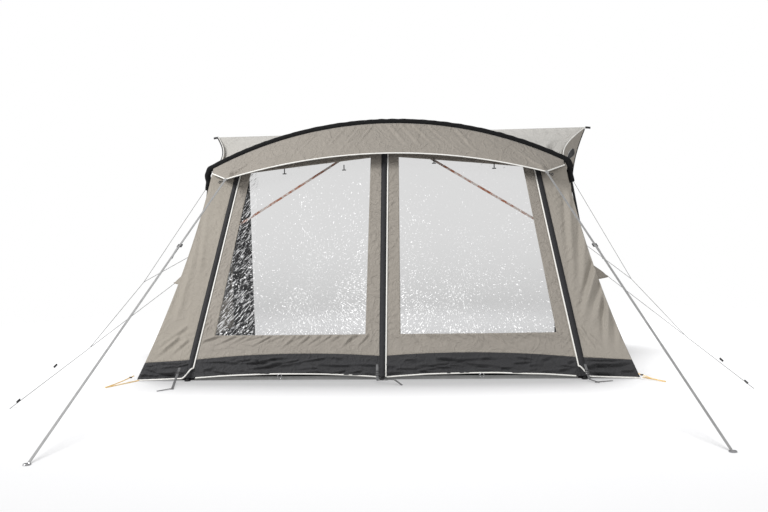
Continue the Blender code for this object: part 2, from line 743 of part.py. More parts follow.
def build_side_lines(word, side):
    """Three lines to one peg: from the shoulder, from the side wall's patch and from the vent hood."""
    peg = SIDE_PEGS[word]
    joint = LINE_JOINS[word]
    shoulder = leave_sleeve(joint, side)
    lip = mirrored(between(hood_edge(0.2, True), hood_edge(0.8, True), 0.3), side)
    lip += Vector((side * HOOD_CLOTH, 0, 0))
    ground = peg + Vector((0, 0, LINE_RADIUS * 1.5))
    low_joint = between(ground, lip, LINE_JOIN_SHARE)
    tube(f"side_line_{word}", [shoulder, joint, low_joint, ground], LINE_RADIUS, "guy_line", sides=6)
    patch = mirrored(off_surface(side_point, *PATCH, 1.9 * LINE_RADIUS), side)
    end = short_of(patch, joint, (shoulder - joint, low_joint - joint))
    tube(f"patch_line_{word}", [patch, end], LINE_RADIUS, "guy_line", sides=6)
    start = lip + (low_joint - lip).normalized() * 2 * LINE_RADIUS
    end = short_of(lip, low_joint, (joint - low_joint, ground - low_joint))
    tube(f"vent_line_{word}", [start, end], LINE_RADIUS, "guy_line", sides=6)


def build_corner_elastic(word, side):
    """The yellow elastic that pegs the wing's outer corner."""
    end = CORNER_PEGS[word] + Vector((0, 0, ELASTIC_THICK))
    start = mirrored(CORNER_FOOT, side)
    start.z = ELASTIC_THICK
    ahead = (end - start).normalized()
    across = ahead.cross(Vector((0, 0, 1)))
    path = [start + ahead * TOUCH, end]
    strap(f"corner_elastic_{word}", path, across, "yellow_elastic", width=ELASTIC_WIDTH, thick=ELASTIC_THICK)


BAND_FOOT = (0.962, 0.657)
BAND_HEAD = (0.192, 0.907)
BAND_SLACK = 0.014
BAND_THICK = 0.002


def behind_front(u, v, distance):
    """A point this far inside the front wall."""
    return front_point(u, v, 1) - normal_at(front_point, u, v) * distance


def build_tension_band(word, side):
    """The orange band inside, from a front pole up to the crown of the beam."""
    (low_u, low_v), (high_u, high_v) = BAND_FOOT, BAND_HEAD
    path = []
    for share, slack in ((0.0, 0.0), (0.05, 1.0), (0.95, 1.0), (1.0, 0.0)):
        u, v = low_u + (high_u - low_u) * share, low_v + (high_v - low_v) * share
        path.append(mirrored(behind_front(u, v, BAND_THICK + 7 * TOUCH + BAND_SLACK * slack), side))
    rising = seam_point(0) - hem_point(0)
    strap(f"tension_band_{word}", path, rising, "orange_band", width=0.020, thick=BAND_THICK)


def main():
    clear_scene()
    for word, side in SIDES.items():
        build_front(word, side)
        build_wing(word, side)
        build_side(word, side)
        build_roof(word, side)
        build_rear(word, side)
        build_tab(word, side)
        build_hood(word, side)
        build_storm_strap(word, side)
        build_side_lines(word, side)
        build_corner_elastic(word, side)
        build_tension_band(word, side)
    build_beam()
    build_peak()
    build_pole_strips()
    build_ground_pieces()
    build_rail()


main()
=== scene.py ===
"""The looks of a poled caravan awning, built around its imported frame. Metres, +Z up, the front facing -Y."""

import json
import math
from functools import partial

import bmesh
import bpy
import numpy as np
from mathutils import Matrix, Vector

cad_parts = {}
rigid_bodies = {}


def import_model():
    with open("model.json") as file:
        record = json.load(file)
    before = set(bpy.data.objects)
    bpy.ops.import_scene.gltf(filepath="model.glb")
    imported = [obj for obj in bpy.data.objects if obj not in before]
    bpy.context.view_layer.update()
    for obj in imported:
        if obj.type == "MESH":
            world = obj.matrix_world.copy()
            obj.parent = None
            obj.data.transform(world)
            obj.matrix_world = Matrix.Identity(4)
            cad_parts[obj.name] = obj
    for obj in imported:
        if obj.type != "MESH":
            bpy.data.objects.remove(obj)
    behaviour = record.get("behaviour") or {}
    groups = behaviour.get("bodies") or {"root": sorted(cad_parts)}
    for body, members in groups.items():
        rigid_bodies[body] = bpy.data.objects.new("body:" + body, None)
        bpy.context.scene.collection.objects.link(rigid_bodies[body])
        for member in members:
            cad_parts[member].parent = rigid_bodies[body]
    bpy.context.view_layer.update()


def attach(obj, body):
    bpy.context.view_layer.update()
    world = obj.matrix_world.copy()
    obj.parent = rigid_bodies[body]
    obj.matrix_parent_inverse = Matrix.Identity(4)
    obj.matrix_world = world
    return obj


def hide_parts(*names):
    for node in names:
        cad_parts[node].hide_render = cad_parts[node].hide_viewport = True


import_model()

# The camera stands about eight metres off, to the right of the centre pole and at chest height, and it is
# tipped a little down and to one side.
CAMERA_PLACE = (0.710, -7.693, 1.333)
CAMERA_TURN, CAMERA_TILT, CAMERA_ROLL = 5.03, -2.30, -1.16
CAMERA_LENS, SENSOR = 44.15, 36.0
camera = bpy.data.objects.new("camera", bpy.data.cameras.new("camera"))
camera.data.lens, camera.data.sensor_width = CAMERA_LENS, SENSOR
camera.matrix_world = (
    Matrix.Translation(CAMERA_PLACE)
    @ Matrix.Rotation(math.radians(CAMERA_TURN), 4, "Z")
    @ Matrix.Rotation(math.radians(90 + CAMERA_TILT), 4, "X")
    @ Matrix.Rotation(math.radians(CAMERA_ROLL), 4, "Z")
)
bpy.context.collection.objects.link(camera)
bpy.context.scene.camera = camera


# The studio: a white surround that the camera sees at full strength and that lights the cloth at half of it,
# one strong soft light high at the left, weak ones at the right and behind, and a pale floor that fades out.
SURROUND_SEEN, SURROUND_LIGHT = 1.0, 0.52
FLOOR_PALE = (0.60, 0.60, 0.605, 1.0)
FLOOR_RADIUS, FLOOR_CLEAR = 16.0, 7.5
FLOOR_GLOW = 0.52
LIGHTS_AIM = (0, 1.0, 0.8)
LIGHTS = {
    "high_left": ((-8.5, -5.5, 7.5), 1500.0, 3.5),
    "high_right": ((6.0, -6.5, 4.5), 250.0, 4.0),
    "back": ((0.0, 7.5, 6.0), 200.0, 5.0),
    "overhead": ((0.0, 4.7, 9.5), 1250.0, 2.6),
}


def feed(tree, socket, value):
    """Links another node's output to this input, or sets it to a number or a colour."""
    if isinstance(value, bpy.types.NodeSocket):
        tree.links.new(value, socket)
    elif value is not None:
        socket.default_value = value


def node(tree, kind, inputs=None, **settings):
    """Adds a shader or geometry node, sets its properties and feeds its inputs."""
    made = tree.nodes.new(kind)
    for key, value in settings.items():
        setattr(made, key, value)
    for key, value in (inputs or {}).items():
        feed(tree, made.inputs[key], value)
    return made


world = bpy.data.worlds.new("surround")
world.use_nodes = True
world_tree = world.node_tree
seen = node(world_tree, "ShaderNodeLightPath")
strength = node(
    world_tree, "ShaderNodeMapRange",
    {"Value": seen.outputs["Is Camera Ray"], "To Min": SURROUND_LIGHT, "To Max": SURROUND_SEEN},
)
feed(world_tree, world_tree.nodes["Background"].inputs["Color"], (1, 1, 1, 1))
feed(world_tree, world_tree.nodes["Background"].inputs["Strength"], strength.outputs["Result"])
bpy.context.scene.world = world
bpy.context.scene.view_settings.view_transform = "Standard"

# The floor has its own light overhead, which draws a soft shadow close round the awning, and the other lights
# leave the floor out
floor_only, no_floor = bpy.data.collections.new("floor_only"), bpy.data.collections.new("no_floor")
for light_name, (place, power, size) in LIGHTS.items():
    lamp = bpy.data.lights.new(light_name, "AREA")
    lamp.energy, lamp.size = power, size
    light = bpy.data.objects.new(light_name, lamp)
    light.location = place
    light.rotation_euler = (Vector(LIGHTS_AIM) - Vector(place)).to_track_quat("-Z", "Y").to_euler()
    bpy.context.collection.objects.link(light)
    light.light_linking.receiver_collection = floor_only if light_name == "overhead" else no_floor

floor_paint = bpy.data.materials.new("pale_floor")
floor_paint.use_nodes = True
tree = floor_paint.node_tree
coords = node(tree, "ShaderNodeTexCoord")
distance = node(tree, "ShaderNodeVectorMath", {0: coords.outputs["Object"]}, operation="LENGTH")
fade = node(
    tree, "ShaderNodeMapRange",
    {
        "Value": distance.outputs["Value"], "From Min": FLOOR_CLEAR * 0.45, "From Max": FLOOR_CLEAR,
        "To Min": 1.0, "To Max": 0.0,
    },
    interpolation_type="SMOOTHSTEP",
)
floor_finish = {
    "Base Color": FLOOR_PALE, "Roughness": 0.9, "Specular IOR Level": 0.1, "Alpha": fade.outputs["Result"],
    "Emission Color": FLOOR_PALE, "Emission Strength": FLOOR_GLOW,
}
for label, value in floor_finish.items():
    feed(tree, tree.nodes["Principled BSDF"].inputs[label], value)
shape = bmesh.new()
bmesh.ops.create_circle(shape, cap_ends=True, segments=96, radius=FLOOR_RADIUS)
floor_mesh = bpy.data.meshes.new("floor")
shape.to_mesh(floor_mesh)
shape.free()
floor_mesh.materials.append(floor_paint)
floor = bpy.data.objects.new("floor", floor_mesh)
bpy.context.collection.objects.link(floor)
floor_only.objects.link(floor)
no_floor.objects.link(floor)
no_floor.collection_objects[0].light_linking.link_state = "EXCLUDE"


# The roof: one coated cloth from the arched front seam back to the rail, grey-taupe, drawn tight by the
# beam and a little slack towards the two rear corners, which stand up beside the beam's shoulders.
RAIL_HALF, RAIL_HEIGHT, DEPTH = 1.985, 2.256, 2.50
EAVE_BOW, EAVE_BOW_POWER = 0.085, 0.85
SEAM_Y, SEAM_TOP = 0.75, 2.165
SHOULDER_X, SHOULDER_Z = 1.585, 1.790
SEAM_SAG = SEAM_TOP - SHOULDER_Z
SEAM_RADIUS = (SHOULDER_X**2 + SEAM_SAG**2) / (2 * SEAM_SAG)
CLOTH_THICK = 0.0012
CELL = 0.010
GREY_TAUPE = (0.40, 0.385, 0.355)
ROOF_SAG, RIPPLE_HEIGHT, RIPPLE_LENGTH = 0.028, 0.0035, 0.115
SIDES = {"left": -1.0, "right": 1.0}


def lerp(a, b, share):
    share = np.asarray(share)
    return a + (b - a) * share[..., None]


def triple(x, y, z):
    return np.stack(np.broadcast_arrays(x, y, z), -1).astype(float)


def spaced(edges, step):
    """Values through these edges, evenly spread between each pair and at most one step apart."""
    values = [edges[0]]
    for a, b in zip(edges, edges[1:]):
        count = max(1, math.ceil(abs(b - a) / step))
        values += [a + (b - a) * (i + 1) / count for i in range(count)]
    return np.array(values)


def seam(x):
    """The arched seam where roof and front meet."""
    drop = SEAM_RADIUS - np.sqrt(SEAM_RADIUS**2 - np.asarray(x) ** 2)
    return triple(x, SEAM_Y, SEAM_TOP - drop)


def hollow(share):
    """How far the eave is cut in, this share of the way from the shoulder to the rail."""
    return EAVE_BOW * np.sin(math.pi * np.clip(share, 0, None) ** EAVE_BOW_POWER)


def roof(u, v):
    """u runs across from -1 to 1, v from the seam back to the rail."""
    back = triple(u * RAIL_HALF, DEPTH, RAIL_HEIGHT)
    return lerp(seam(u * SHOULDER_X), back, v) - triple(hollow(v) * u, 0, 0)


def outward_normals(points, outward):
    """Unit normals of a grid of points, on the side that outward points to."""
    found = np.cross(np.gradient(points, axis=1), np.gradient(points, axis=0))
    found /= np.linalg.norm(found, axis=-1, keepdims=True) + 1e-12
    return found * np.where(found @ np.array(outward, float) < 0, -1.0, 1.0)[..., None]


def smooth(value):
    value = np.clip(value, 0.0, 1.0)
    return value * value * (3 - 2 * value)


def creases(s, t, lines):
    """Pinched folds on a cloth: each line is from (s, t) to (s, t), with a width and a height in metres."""
    total = np.zeros_like(s)
    for s0, t0, s1, t1, width, height in lines:
        run = math.hypot(s1 - s0, t1 - t0)
        ds, dt = (s1 - s0) / run, (t1 - t0) / run
        along = ((s - s0) * ds + (t - t0) * dt) / run
        across = ((s - s0) * dt - (t - t0) * ds) / width
        taper = smooth(along / 0.15) * smooth((1 - along) / 0.75)
        total += height * taper * (np.exp(-(across**2)) - 0.7 * np.exp(-((across - 1.7) ** 2)))
    return total


def fastened(*edges):
    """0 where the cloth is sewn down, 1 away from there: each edge is a distance from a seam and a fade."""
    free = 1.0
    for distance_off, fade_over in edges:
        free = free * smooth(distance_off / fade_over)
    return free


def slack(s, t, height, seed, stretch=(1.0, 1.0)):
    """Broad soft unevenness of hung cloth: a few long waves laid over each other."""
    wave = np.random.default_rng(seed)
    total = np.zeros_like(s)
    for _ in range(7):
        turn, length, phase = wave.uniform(0, math.pi), wave.uniform(0.16, 0.6), wave.uniform(0, 6.28)
        push = s * math.cos(turn) * stretch[0] + t * math.sin(turn) * stretch[1]
        total += np.sin(push * 2 * math.pi / length + phase) * length
    return total * height / 2.4


def cloth_mesh(name, points, flat, outward, keep, paint):
    """A mesh of quads from a grid of points, its faces outwards, with flat as its map of the cut cloth."""
    rows, columns = points.shape[:2]
    index = np.arange(rows * columns).reshape(rows, columns)
    quads = np.stack([index[:-1, :-1], index[:-1, 1:], index[1:, 1:], index[1:, :-1]], -1)[keep]
    facing = np.cross(np.gradient(points, axis=1), np.gradient(points, axis=0)) @ np.array(outward, float)
    if facing.sum() < 0:
        quads = quads[:, ::-1]
    used, packed = np.unique(quads, return_inverse=True)
    mesh = bpy.data.meshes.new(name)
    mesh.from_pydata(points.reshape(-1, 3)[used].tolist(), [], packed.reshape(-1, 4).tolist())
    layer = mesh.uv_layers.new(name="cut")
    layer.data.foreach_set("uv", flat.reshape(-1, 2)[quads.ravel()].astype(np.float32).ravel())
    mesh.shade_smooth()
    mesh.materials.append(paint)
    return mesh


def placed(name, mesh):
    """Puts a finished mesh in the scene as one piece of the awning."""
    piece = bpy.data.objects.new(name, mesh)
    bpy.context.collection.objects.link(piece)
    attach(piece, "root")
    return piece


def panel(
    name, base, move, outward, side, paint, nodes,
    keep=None, thick=CLOTH_THICK,
):
    """A sewn panel: the base grid pushed out by move and given the cloth's thickness; its map of the cut cloth
    is measured along the base grid.
    """
    keep = np.ones((base.shape[0] - 1, base.shape[1] - 1), bool) if keep is None else keep
    turned = np.array([side, 1.0, 1.0])
    points = (base + outward_normals(base, outward) * move[..., None]) * turned
    across = np.concatenate([np.zeros((base.shape[0], 1)), np.linalg.norm(np.diff(base, axis=1), axis=-1)], 1)
    down = np.concatenate([np.zeros((1, base.shape[1])), np.linalg.norm(np.diff(base, axis=0), axis=-1)], 0)
    flat = np.stack([across.cumsum(1), down.cumsum(0)], -1)
    mesh = cloth_mesh(name, points, flat, np.array(outward) * turned, keep, paint)
    piece = placed(name, mesh)
    body = piece.modifiers.new("thickness", "SOLIDIFY")
    body.thickness, body.offset = thick, -1.0
    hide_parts(*nodes)
    return piece


def group(name, inputs, outputs):
    """A shader node group with these named inputs and outputs, and its input and output nodes."""
    made = bpy.data.node_groups.new(name, "ShaderNodeTree")
    for label, (kind, value) in inputs.items():
        made.interface.new_socket(label, in_out="INPUT", socket_type=kind).default_value = value
    for label, kind in outputs.items():
        made.interface.new_socket(label, in_out="OUTPUT", socket_type=kind)
    return made, made.nodes.new("NodeGroupInput"), made.nodes.new("NodeGroupOutput")


def maths(tree, operation, a, b=None, c=None, clamp=False):
    """One Math node; each value is a socket or a number."""
    made = node(tree, "ShaderNodeMath", {0: a, 1: b, 2: c}, operation=operation, use_clamp=clamp)
    return made.outputs[0]


def mixed(tree, share, a, b):
    """One colour Mix node; each value is a socket or a colour."""
    return node(tree, "ShaderNodeMix", {0: share, 6: a, 7: b}, data_type="RGBA").outputs[2]


def noise(tree, vector, scale, detail=3.0, roughness=0.55, distortion=0.0):
    inputs = {
        "Vector": vector, "Scale": scale, "Detail": detail, "Roughness": roughness, "Distortion": distortion,
    }
    return node(tree, "ShaderNodeTexNoise", inputs).outputs["Fac"]


# Plain weave: threads over and under along the cut cloth, uneven yarns, and faint soiling in broad patches
weave, weave_in, weave_out = group(
    "plain_weave",
    {
        "Color": ("NodeSocketColor", (0.4, 0.4, 0.4, 1)),
        "Threads": ("NodeSocketFloat", 900.0),
        "Mottle": ("NodeSocketFloat", 0.10),
        "Soiling": ("NodeSocketFloat", 0.10),
        "Crumple": ("NodeSocketFloat", 0.75),
    },
    {"Color": "NodeSocketColor", "Roughness": "NodeSocketFloat", "Height": "NodeSocketFloat"},
)
weave_maths = partial(maths, weave)
cut = node(weave, "ShaderNodeUVMap", uv_map="cut")
where = node(weave, "ShaderNodeTexCoord")
threads = []
for axis in ("X", "Y"):
    yarn = {
        "Vector": cut.outputs["UV"], "Scale": weave_in.outputs["Threads"], "Distortion": 0.6, "Detail": 1.0,
    }
    wave = node(weave, "ShaderNodeTexWave", yarn, wave_type="BANDS", bands_direction=axis, wave_profile="SIN")
    threads.append(wave.outputs["Fac"])
crossing = weave_maths("MULTIPLY", threads[0], threads[1])
yarns = noise(weave, cut.outputs["UV"], 160.0, 4.0, 0.7)
patches = noise(weave, where.outputs["Object"], 2.6, 4.0)
mottle = weave_maths("MULTIPLY", weave_maths("SUBTRACT", yarns, 0.5), weave_in.outputs["Mottle"])
soiled = weave_maths("MULTIPLY", weave_maths("SUBTRACT", patches, 0.45), weave_in.outputs["Soiling"])
level = weave_maths("SUBTRACT", weave_maths("ADD", 1.0, mottle), soiled)
level = weave_maths("ADD", level, weave_maths("MULTIPLY", crossing, 0.04))
tint = node(
    weave, "ShaderNodeVectorMath", {0: weave_in.outputs["Color"], "Scale": level}, operation="SCALE"
)
weave.links.new(tint.outputs["Vector"], weave_out.inputs["Color"])
weave.links.new(weave_maths("ADD", 0.70, weave_maths("MULTIPLY", yarns, 0.18)), weave_out.inputs["Roughness"])
# Small creases of cloth that has been packed: thin ridges where a warped noise crosses its middle value
RIDGE_POWER, RIDGE_SIZES = 7.0, ((5.5, 1.0), (12.0, 0.6), (27.0, 0.25))
ridges = None
for size, share in RIDGE_SIZES:
    bent = noise(weave, where.outputs["Object"], size, 2.0, 0.5, 1.4)
    away = weave_maths("ABSOLUTE", weave_maths("MULTIPLY_ADD", bent, 2.0, -1.0))
    near = weave_maths("SUBTRACT", 1.0, away, clamp=True)
    ridge = weave_maths("MULTIPLY", weave_maths("POWER", near, RIDGE_POWER), share)
    ridges = ridge if ridges is None else weave_maths("ADD", ridges, ridge)
texture = weave_maths("MULTIPLY_ADD", crossing, 0.05, weave_maths("MULTIPLY", yarns, 0.025))
crumpled = weave_maths("MULTIPLY", ridges, weave_in.outputs["Crumple"])
weave.links.new(weave_maths("ADD", texture, crumpled), weave_out.inputs["Height"])


def material(name, effect, values, bump=1.0, reach=0.006, metallic=0.0, **constants):
    """A Principled material fed by one effect group; constants are set on the shader's own sockets."""
    made = bpy.data.materials.new(name)
    made.use_nodes = True
    inner = made.node_tree
    source = node(inner, "ShaderNodeGroup", values, node_tree=effect)
    relief = node(
        inner, "ShaderNodeBump", {"Strength": bump, "Distance": reach, "Height": source.outputs["Height"]}
    )
    finish = {"Metallic": metallic, "Normal": relief.outputs["Normal"], "Base Color": source.outputs["Color"]}
    finish |= {label.replace("_", " "): value for label, value in constants.items()}
    finish |= {label: source.outputs[label] for label in ("Roughness", "Alpha") if label in source.outputs}
    for label, value in finish.items():
        feed(inner, inner.nodes["Principled BSDF"].inputs[label], value)
    return made


def coated_cloth(name, colour, mottle, soiling, crumple=0.75, **finish):
    """Woven and coated cloth: its colour, how uneven, soiled and crumpled it is, and the coating's shine."""
    values = {"Color": (*colour, 1), "Mottle": mottle, "Soiling": soiling, "Crumple": crumple}
    return material(name, weave, values, **finish)


grey_cloth = coated_cloth("grey_roof_cloth", GREY_TAUPE, 0.10, 0.12, Sheen_Weight=0.15)
us = spaced([-1, 1], CELL * 1.7 / RAIL_HALF)
vs = spaced([0, 1], CELL * 1.9 / (DEPTH - SEAM_Y))
base = roof(*np.meshgrid(us, vs))
x, y = base[..., 0], base[..., 1]
back = (y - SEAM_Y) / (DEPTH - SEAM_Y)
free = fastened((np.minimum(back, 1 - back), 0.08), (1 - np.abs(us), 0.05))
sag = -ROOF_SAG * np.sin(math.pi * back) * (0.35 + 0.65 * np.abs(x / RAIL_HALF) ** 2)
ripples = RIPPLE_HEIGHT * np.sin(np.abs(x) * 2 * math.pi / RIPPLE_LENGTH)
ripples = ripples * smooth((back - 0.55) / 0.4) * smooth((np.abs(x) - 0.4) / 1.2)
folds = []
for side in SIDES.values():
    for k in range(5):
        start, end = (side * (1.56 - 0.05 * k), 0.80), (side * (1.30 + 0.10 * k), 1.70 + 0.14 * k)
        folds.append((*start, *end, 0.030, 0.006))
move = (creases(x, y, folds) + slack(x, y, 0.0022, 11) + ripples) * free + sag
panel("roof_cloth", base, move, (0, 0, 1), 1.0, grey_cloth, ["roof_left", "roof_right"])


# The two front bays: taupe coated polyester from the skirt to the arched seam, with the window cut out of
# each and the cloth pinched into short folds under it, where the film doesn't stretch with it.
POLE_SEAM_FOOT, POLE_SEAM_TOP = 1.60, 1.27
HEM_LOW, HEM_RISE = 0.022, 0.032
SKIRT_SHARE = 0.078
WINDOW_LOW, WINDOW_HIGH_INNER, WINDOW_HIGH_OUTER = 0.365, 1.870, 1.762
WINDOW_INNER, WINDOW_OUTER = 0.095, 0.930
TAUPE = (0.245, 0.222, 0.193)
taupe_cloth = coated_cloth("taupe_wall_cloth", TAUPE, 0.12, 0.10, Sheen_Weight=0.12)


def hem(x):
    """The front hem: held down at the poles, lifting between them."""
    share = np.abs(x) / POLE_SEAM_FOOT
    return triple(x, 0.0, HEM_LOW + HEM_RISE * 4 * share * (1 - share))


def bay(u, v):
    return lerp(hem(u * POLE_SEAM_FOOT), seam(u * POLE_SEAM_TOP), v)


def share_at(u, z):
    """Share of the front's height that lies this high above the ground."""
    low, high = hem(u * POLE_SEAM_FOOT)[..., 2], seam(u * POLE_SEAM_TOP)[..., 2]
    return (z - low) / (high - low)


def window_top(u):
    across = (u - WINDOW_INNER) / (WINDOW_OUTER - WINDOW_INNER)
    return share_at(u, WINDOW_HIGH_INNER + (WINDOW_HIGH_OUTER - WINDOW_HIGH_INNER) * across)


def stacked(us, levels, counts):
    """Grids of u and v whose rows follow these levels, each a function of u."""
    rows = []
    for k, count in enumerate(counts):
        shares = np.linspace(0, 1, count + 1)[(1 if k else 0):, None]
        rows.append(levels[k](us)[None] + (levels[k + 1](us) - levels[k](us))[None] * shares)
    v = np.concatenate(rows)
    return np.broadcast_to(us, v.shape), v


def cells_between(edges, low, high):
    """Which cells between neighbouring edges have their middle in this range."""
    middles = (edges[:-1] + edges[1:]) / 2
    return (middles > low) & (middles < high)


def drawn(chance, widths, heights):
    """A fold's width and height, drawn at random from these ranges."""
    return chance.uniform(*widths), chance.uniform(*heights)


window_us = spaced([0, WINDOW_INNER, WINDOW_OUTER, 1], CELL / POLE_SEAM_FOOT)
levels = [
    lambda u: np.full_like(u, SKIRT_SHARE),
    lambda u: share_at(u, WINDOW_LOW),
    window_top,
    lambda u: np.ones_like(u),
]
WALL_COUNTS = (30, 150, 34)
FOLD_TOP = 0.372
u, v = stacked(window_us, levels, WALL_COUNTS)
hole_rows = slice(WALL_COUNTS[0], WALL_COUNTS[0] + WALL_COUNTS[1])
wall_keep = np.ones((v.shape[0] - 1, v.shape[1] - 1), bool)
wall_keep[hole_rows, cells_between(window_us, WINDOW_INNER, WINDOW_OUTER)] = False
for word, side in SIDES.items():
    base = bay(u, v)
    x, z = base[..., 0], base[..., 2]
    chance = np.random.default_rng(21 if side < 0 else 22)
    folds = []
    # Under the window, leaning more towards the outer pole
    for k in range(17):
        start = 0.10 + 0.082 * k + chance.uniform(-0.03, 0.03)
        lean = 0.09 + 0.21 * start / POLE_SEAM_FOOT + chance.uniform(-0.03, 0.04)
        drop = chance.uniform(0.07, 0.15)
        size = drawn(chance, (0.007, 0.012), (0.006, 0.012))
        folds.append((start, FOLD_TOP, start + lean, FOLD_TOP - drop, *size))
    # Short ones up the pole seam and up the centre sleeve
    for k in range(26):
        low = 0.42 + 0.052 * k
        edge = POLE_SEAM_FOOT - 0.152 * low
        tall = chance.uniform(0.03, 0.09)
        size = drawn(chance, (0.006, 0.010), (0.003, 0.008))
        folds.append((edge, low - 0.02, edge - 0.11, low + tall, *size))
        size = drawn(chance, (0.007, 0.011), (0.002, 0.006))
        folds.append((0.02, low - 0.02, 0.15, low + tall - 0.03, *size))
    free = fastened((v - SKIRT_SHARE, 0.008), (1 - v, 0.02), (x - 0.028, 0.02), (1 - u, 0.01))
    move = (creases(x, z, folds) + slack(x, z, 0.0024, 31 + int(side))) * free
    panel(
        f"front_wall_{word}.cloth", base, move, (0, -1, 0.4), side, taupe_cloth,
        [f"front_wall_{word}"], keep=wall_keep,
    )


# The clear front windows: soft film welded into the wall, folded for years in its bag, so that fine
# crossed creases catch the light, thickest low down beside the centre pole. Their glints and streaked
# reflections are painted highlights and painted reflections in the film's colour and opacity.
FILM_THICK = 0.0006
FILM_LAP = 0.010
FAN = {"left": (-0.62, 0.78), "right": (0.66, 0.98)}
FILM_TINT = (0.040, 0.041, 0.043)
PAINTED_REFLECTION_GREY = (0.60, 0.60, 0.605, 1)
FILM_PAINTED_REFLECTION = {"left": 1.0, "right": 0.0}
REFLECTION_GRAIN_SCALE, REFLECTION_GRAIN_PULL, PAINTED_REFLECTION_LEVELS = 14.0, 8.5, (0.555, 0.585)
GLINT_GRAIN_ALONG, GLINT_GRAIN_ROUND, SPECK_SCALE = 26.0, 62.0, 76.0
PAINTED_GLINT_GATHERING, PAINTED_GLINT_LEVELS, PAINTED_GLINT_WHITE = 0.145, (0.632, 0.644), (0.92, 0.92, 0.92, 1)
LOW_SHADE_POWER, LOW_SHADE_SHARE = 3.0, 0.32
EDGE_ACROSS, EDGE_UP, EDGE_OFFSET = 60.0, -2.0, -64.6
streaks, streaks_in, streaks_out = group(
    "film_creases",
    {
        "Color": ("NodeSocketColor", (0.5, 0.5, 0.5, 1)),
        "Scatter": ("NodeSocketColor", (0.5, 0.5, 0.5, 1)),
        "Body": ("NodeSocketFloat", 0.30),
        "Lean": ("NodeSocketFloat", 0.6),
        "Fan X": ("NodeSocketFloat", 0.0),
        "Fan Z": ("NodeSocketFloat", 0.8),
        "Dense Side": ("NodeSocketFloat", 1.0),
        "Amount": ("NodeSocketFloat", 1.0),
        "Haze": ("NodeSocketFloat", 1.0),
    },
    {
        "Color": "NodeSocketColor", "Roughness": "NodeSocketFloat",
        "Alpha": "NodeSocketFloat", "Height": "NodeSocketFloat",
    },
)
film_maths = partial(maths, streaks)
where = node(streaks, "ShaderNodeTexCoord")
leaning = {"Vector": where.outputs["Object"], "Angle": streaks_in.outputs["Lean"]}
turn = node(streaks, "ShaderNodeVectorRotate", leaning, rotation_type="Y_AXIS")
stretching = {0: turn.outputs["Vector"], 1: (1.0, 1.0, REFLECTION_GRAIN_PULL)}
pulled = node(streaks, "ShaderNodeVectorMath", stretching, operation="MULTIPLY")
reflection_and_crease_grain = noise(streaks, pulled.outputs["Vector"], REFLECTION_GRAIN_SCALE, 2.0, 0.75)
place = node(streaks, "ShaderNodeSeparateXYZ", {"Vector": where.outputs["Object"]})
# The painted white glints lie along lines that fan out from one place low in the window
from_x = film_maths("SUBTRACT", place.outputs["X"], streaks_in.outputs["Fan X"])
from_z = film_maths("SUBTRACT", place.outputs["Z"], streaks_in.outputs["Fan Z"])
squares = film_maths("ADD", film_maths("POWER", from_x, 2.0), film_maths("POWER", from_z, 2.0))
reach = film_maths("SQRT", squares)
bearing = film_maths("ARCTAN2", from_z, from_x)
fan = node(
    streaks, "ShaderNodeCombineXYZ",
    {"X": film_maths("MULTIPLY", reach, GLINT_GRAIN_ALONG), "Y": film_maths("MULTIPLY", bearing, GLINT_GRAIN_ROUND)},
)
glint_and_crease_grain = noise(streaks, fan.outputs["Vector"], 1.0, 3.0, 0.62)
specks = noise(streaks, where.outputs["Object"], SPECK_SCALE, 2.0, 0.6)
glint_and_crease_grain = film_maths("ADD", film_maths("MULTIPLY", glint_and_crease_grain, 0.55), film_maths("MULTIPLY", specks, 0.45))
inward = film_maths("MULTIPLY", place.outputs["X"], streaks_in.outputs["Dense Side"])
low_down = film_maths("MULTIPLY_ADD", place.outputs["Z"], -0.62, 1.02, clamp=True)
near_pole = film_maths("MULTIPLY_ADD", inward, -0.45, 0.92, clamp=True)
broad = noise(streaks, where.outputs["Object"], 3.0, 2.0)
thick_here = film_maths("MULTIPLY", film_maths("MULTIPLY", low_down, near_pole), streaks_in.outputs["Amount"])
thick_here = film_maths("ADD", thick_here, film_maths("MULTIPLY_ADD", broad, 0.9, -0.45))


def marks(grain, low, high):
    """The part of a grain that lies above a level, with a soft edge."""
    inputs = {"Value": grain, "From Min": low, "From Max": high}
    return node(streaks, "ShaderNodeMapRange", inputs, interpolation_type="SMOOTHSTEP").outputs["Result"]


# The painted reflection streaks show only in front of the dark side film: past a line that leans with that
# film's edge
edge_place = film_maths("MULTIPLY_ADD", place.outputs["Z"], EDGE_UP, EDGE_OFFSET)
outer_edge = film_maths("MULTIPLY_ADD", inward, EDGE_ACROSS, edge_place, clamp=True)
outer_edge = film_maths("MULTIPLY", outer_edge, streaks_in.outputs["Haze"])
# Painted reflection: a pale grey painted into the film's colour and opacity along the streaks
painted_reflection_mask = film_maths("MULTIPLY", marks(reflection_and_crease_grain, *PAINTED_REFLECTION_LEVELS), outer_edge)
# Painted highlight: where this mask is high, the film is painted white and made more opaque
painted_glint_mask = marks(film_maths("MULTIPLY_ADD", thick_here, PAINTED_GLINT_GATHERING, glint_and_crease_grain), *PAINTED_GLINT_LEVELS)
tone = mixed(streaks, painted_reflection_mask, streaks_in.outputs["Color"], streaks_in.outputs["Scatter"])
streaks.links.new(mixed(streaks, painted_glint_mask, tone, PAINTED_GLINT_WHITE), streaks_out.inputs["Color"])
streaks.links.new(film_maths("MULTIPLY_ADD", painted_glint_mask, 0.30, 0.26), streaks_out.inputs["Roughness"])
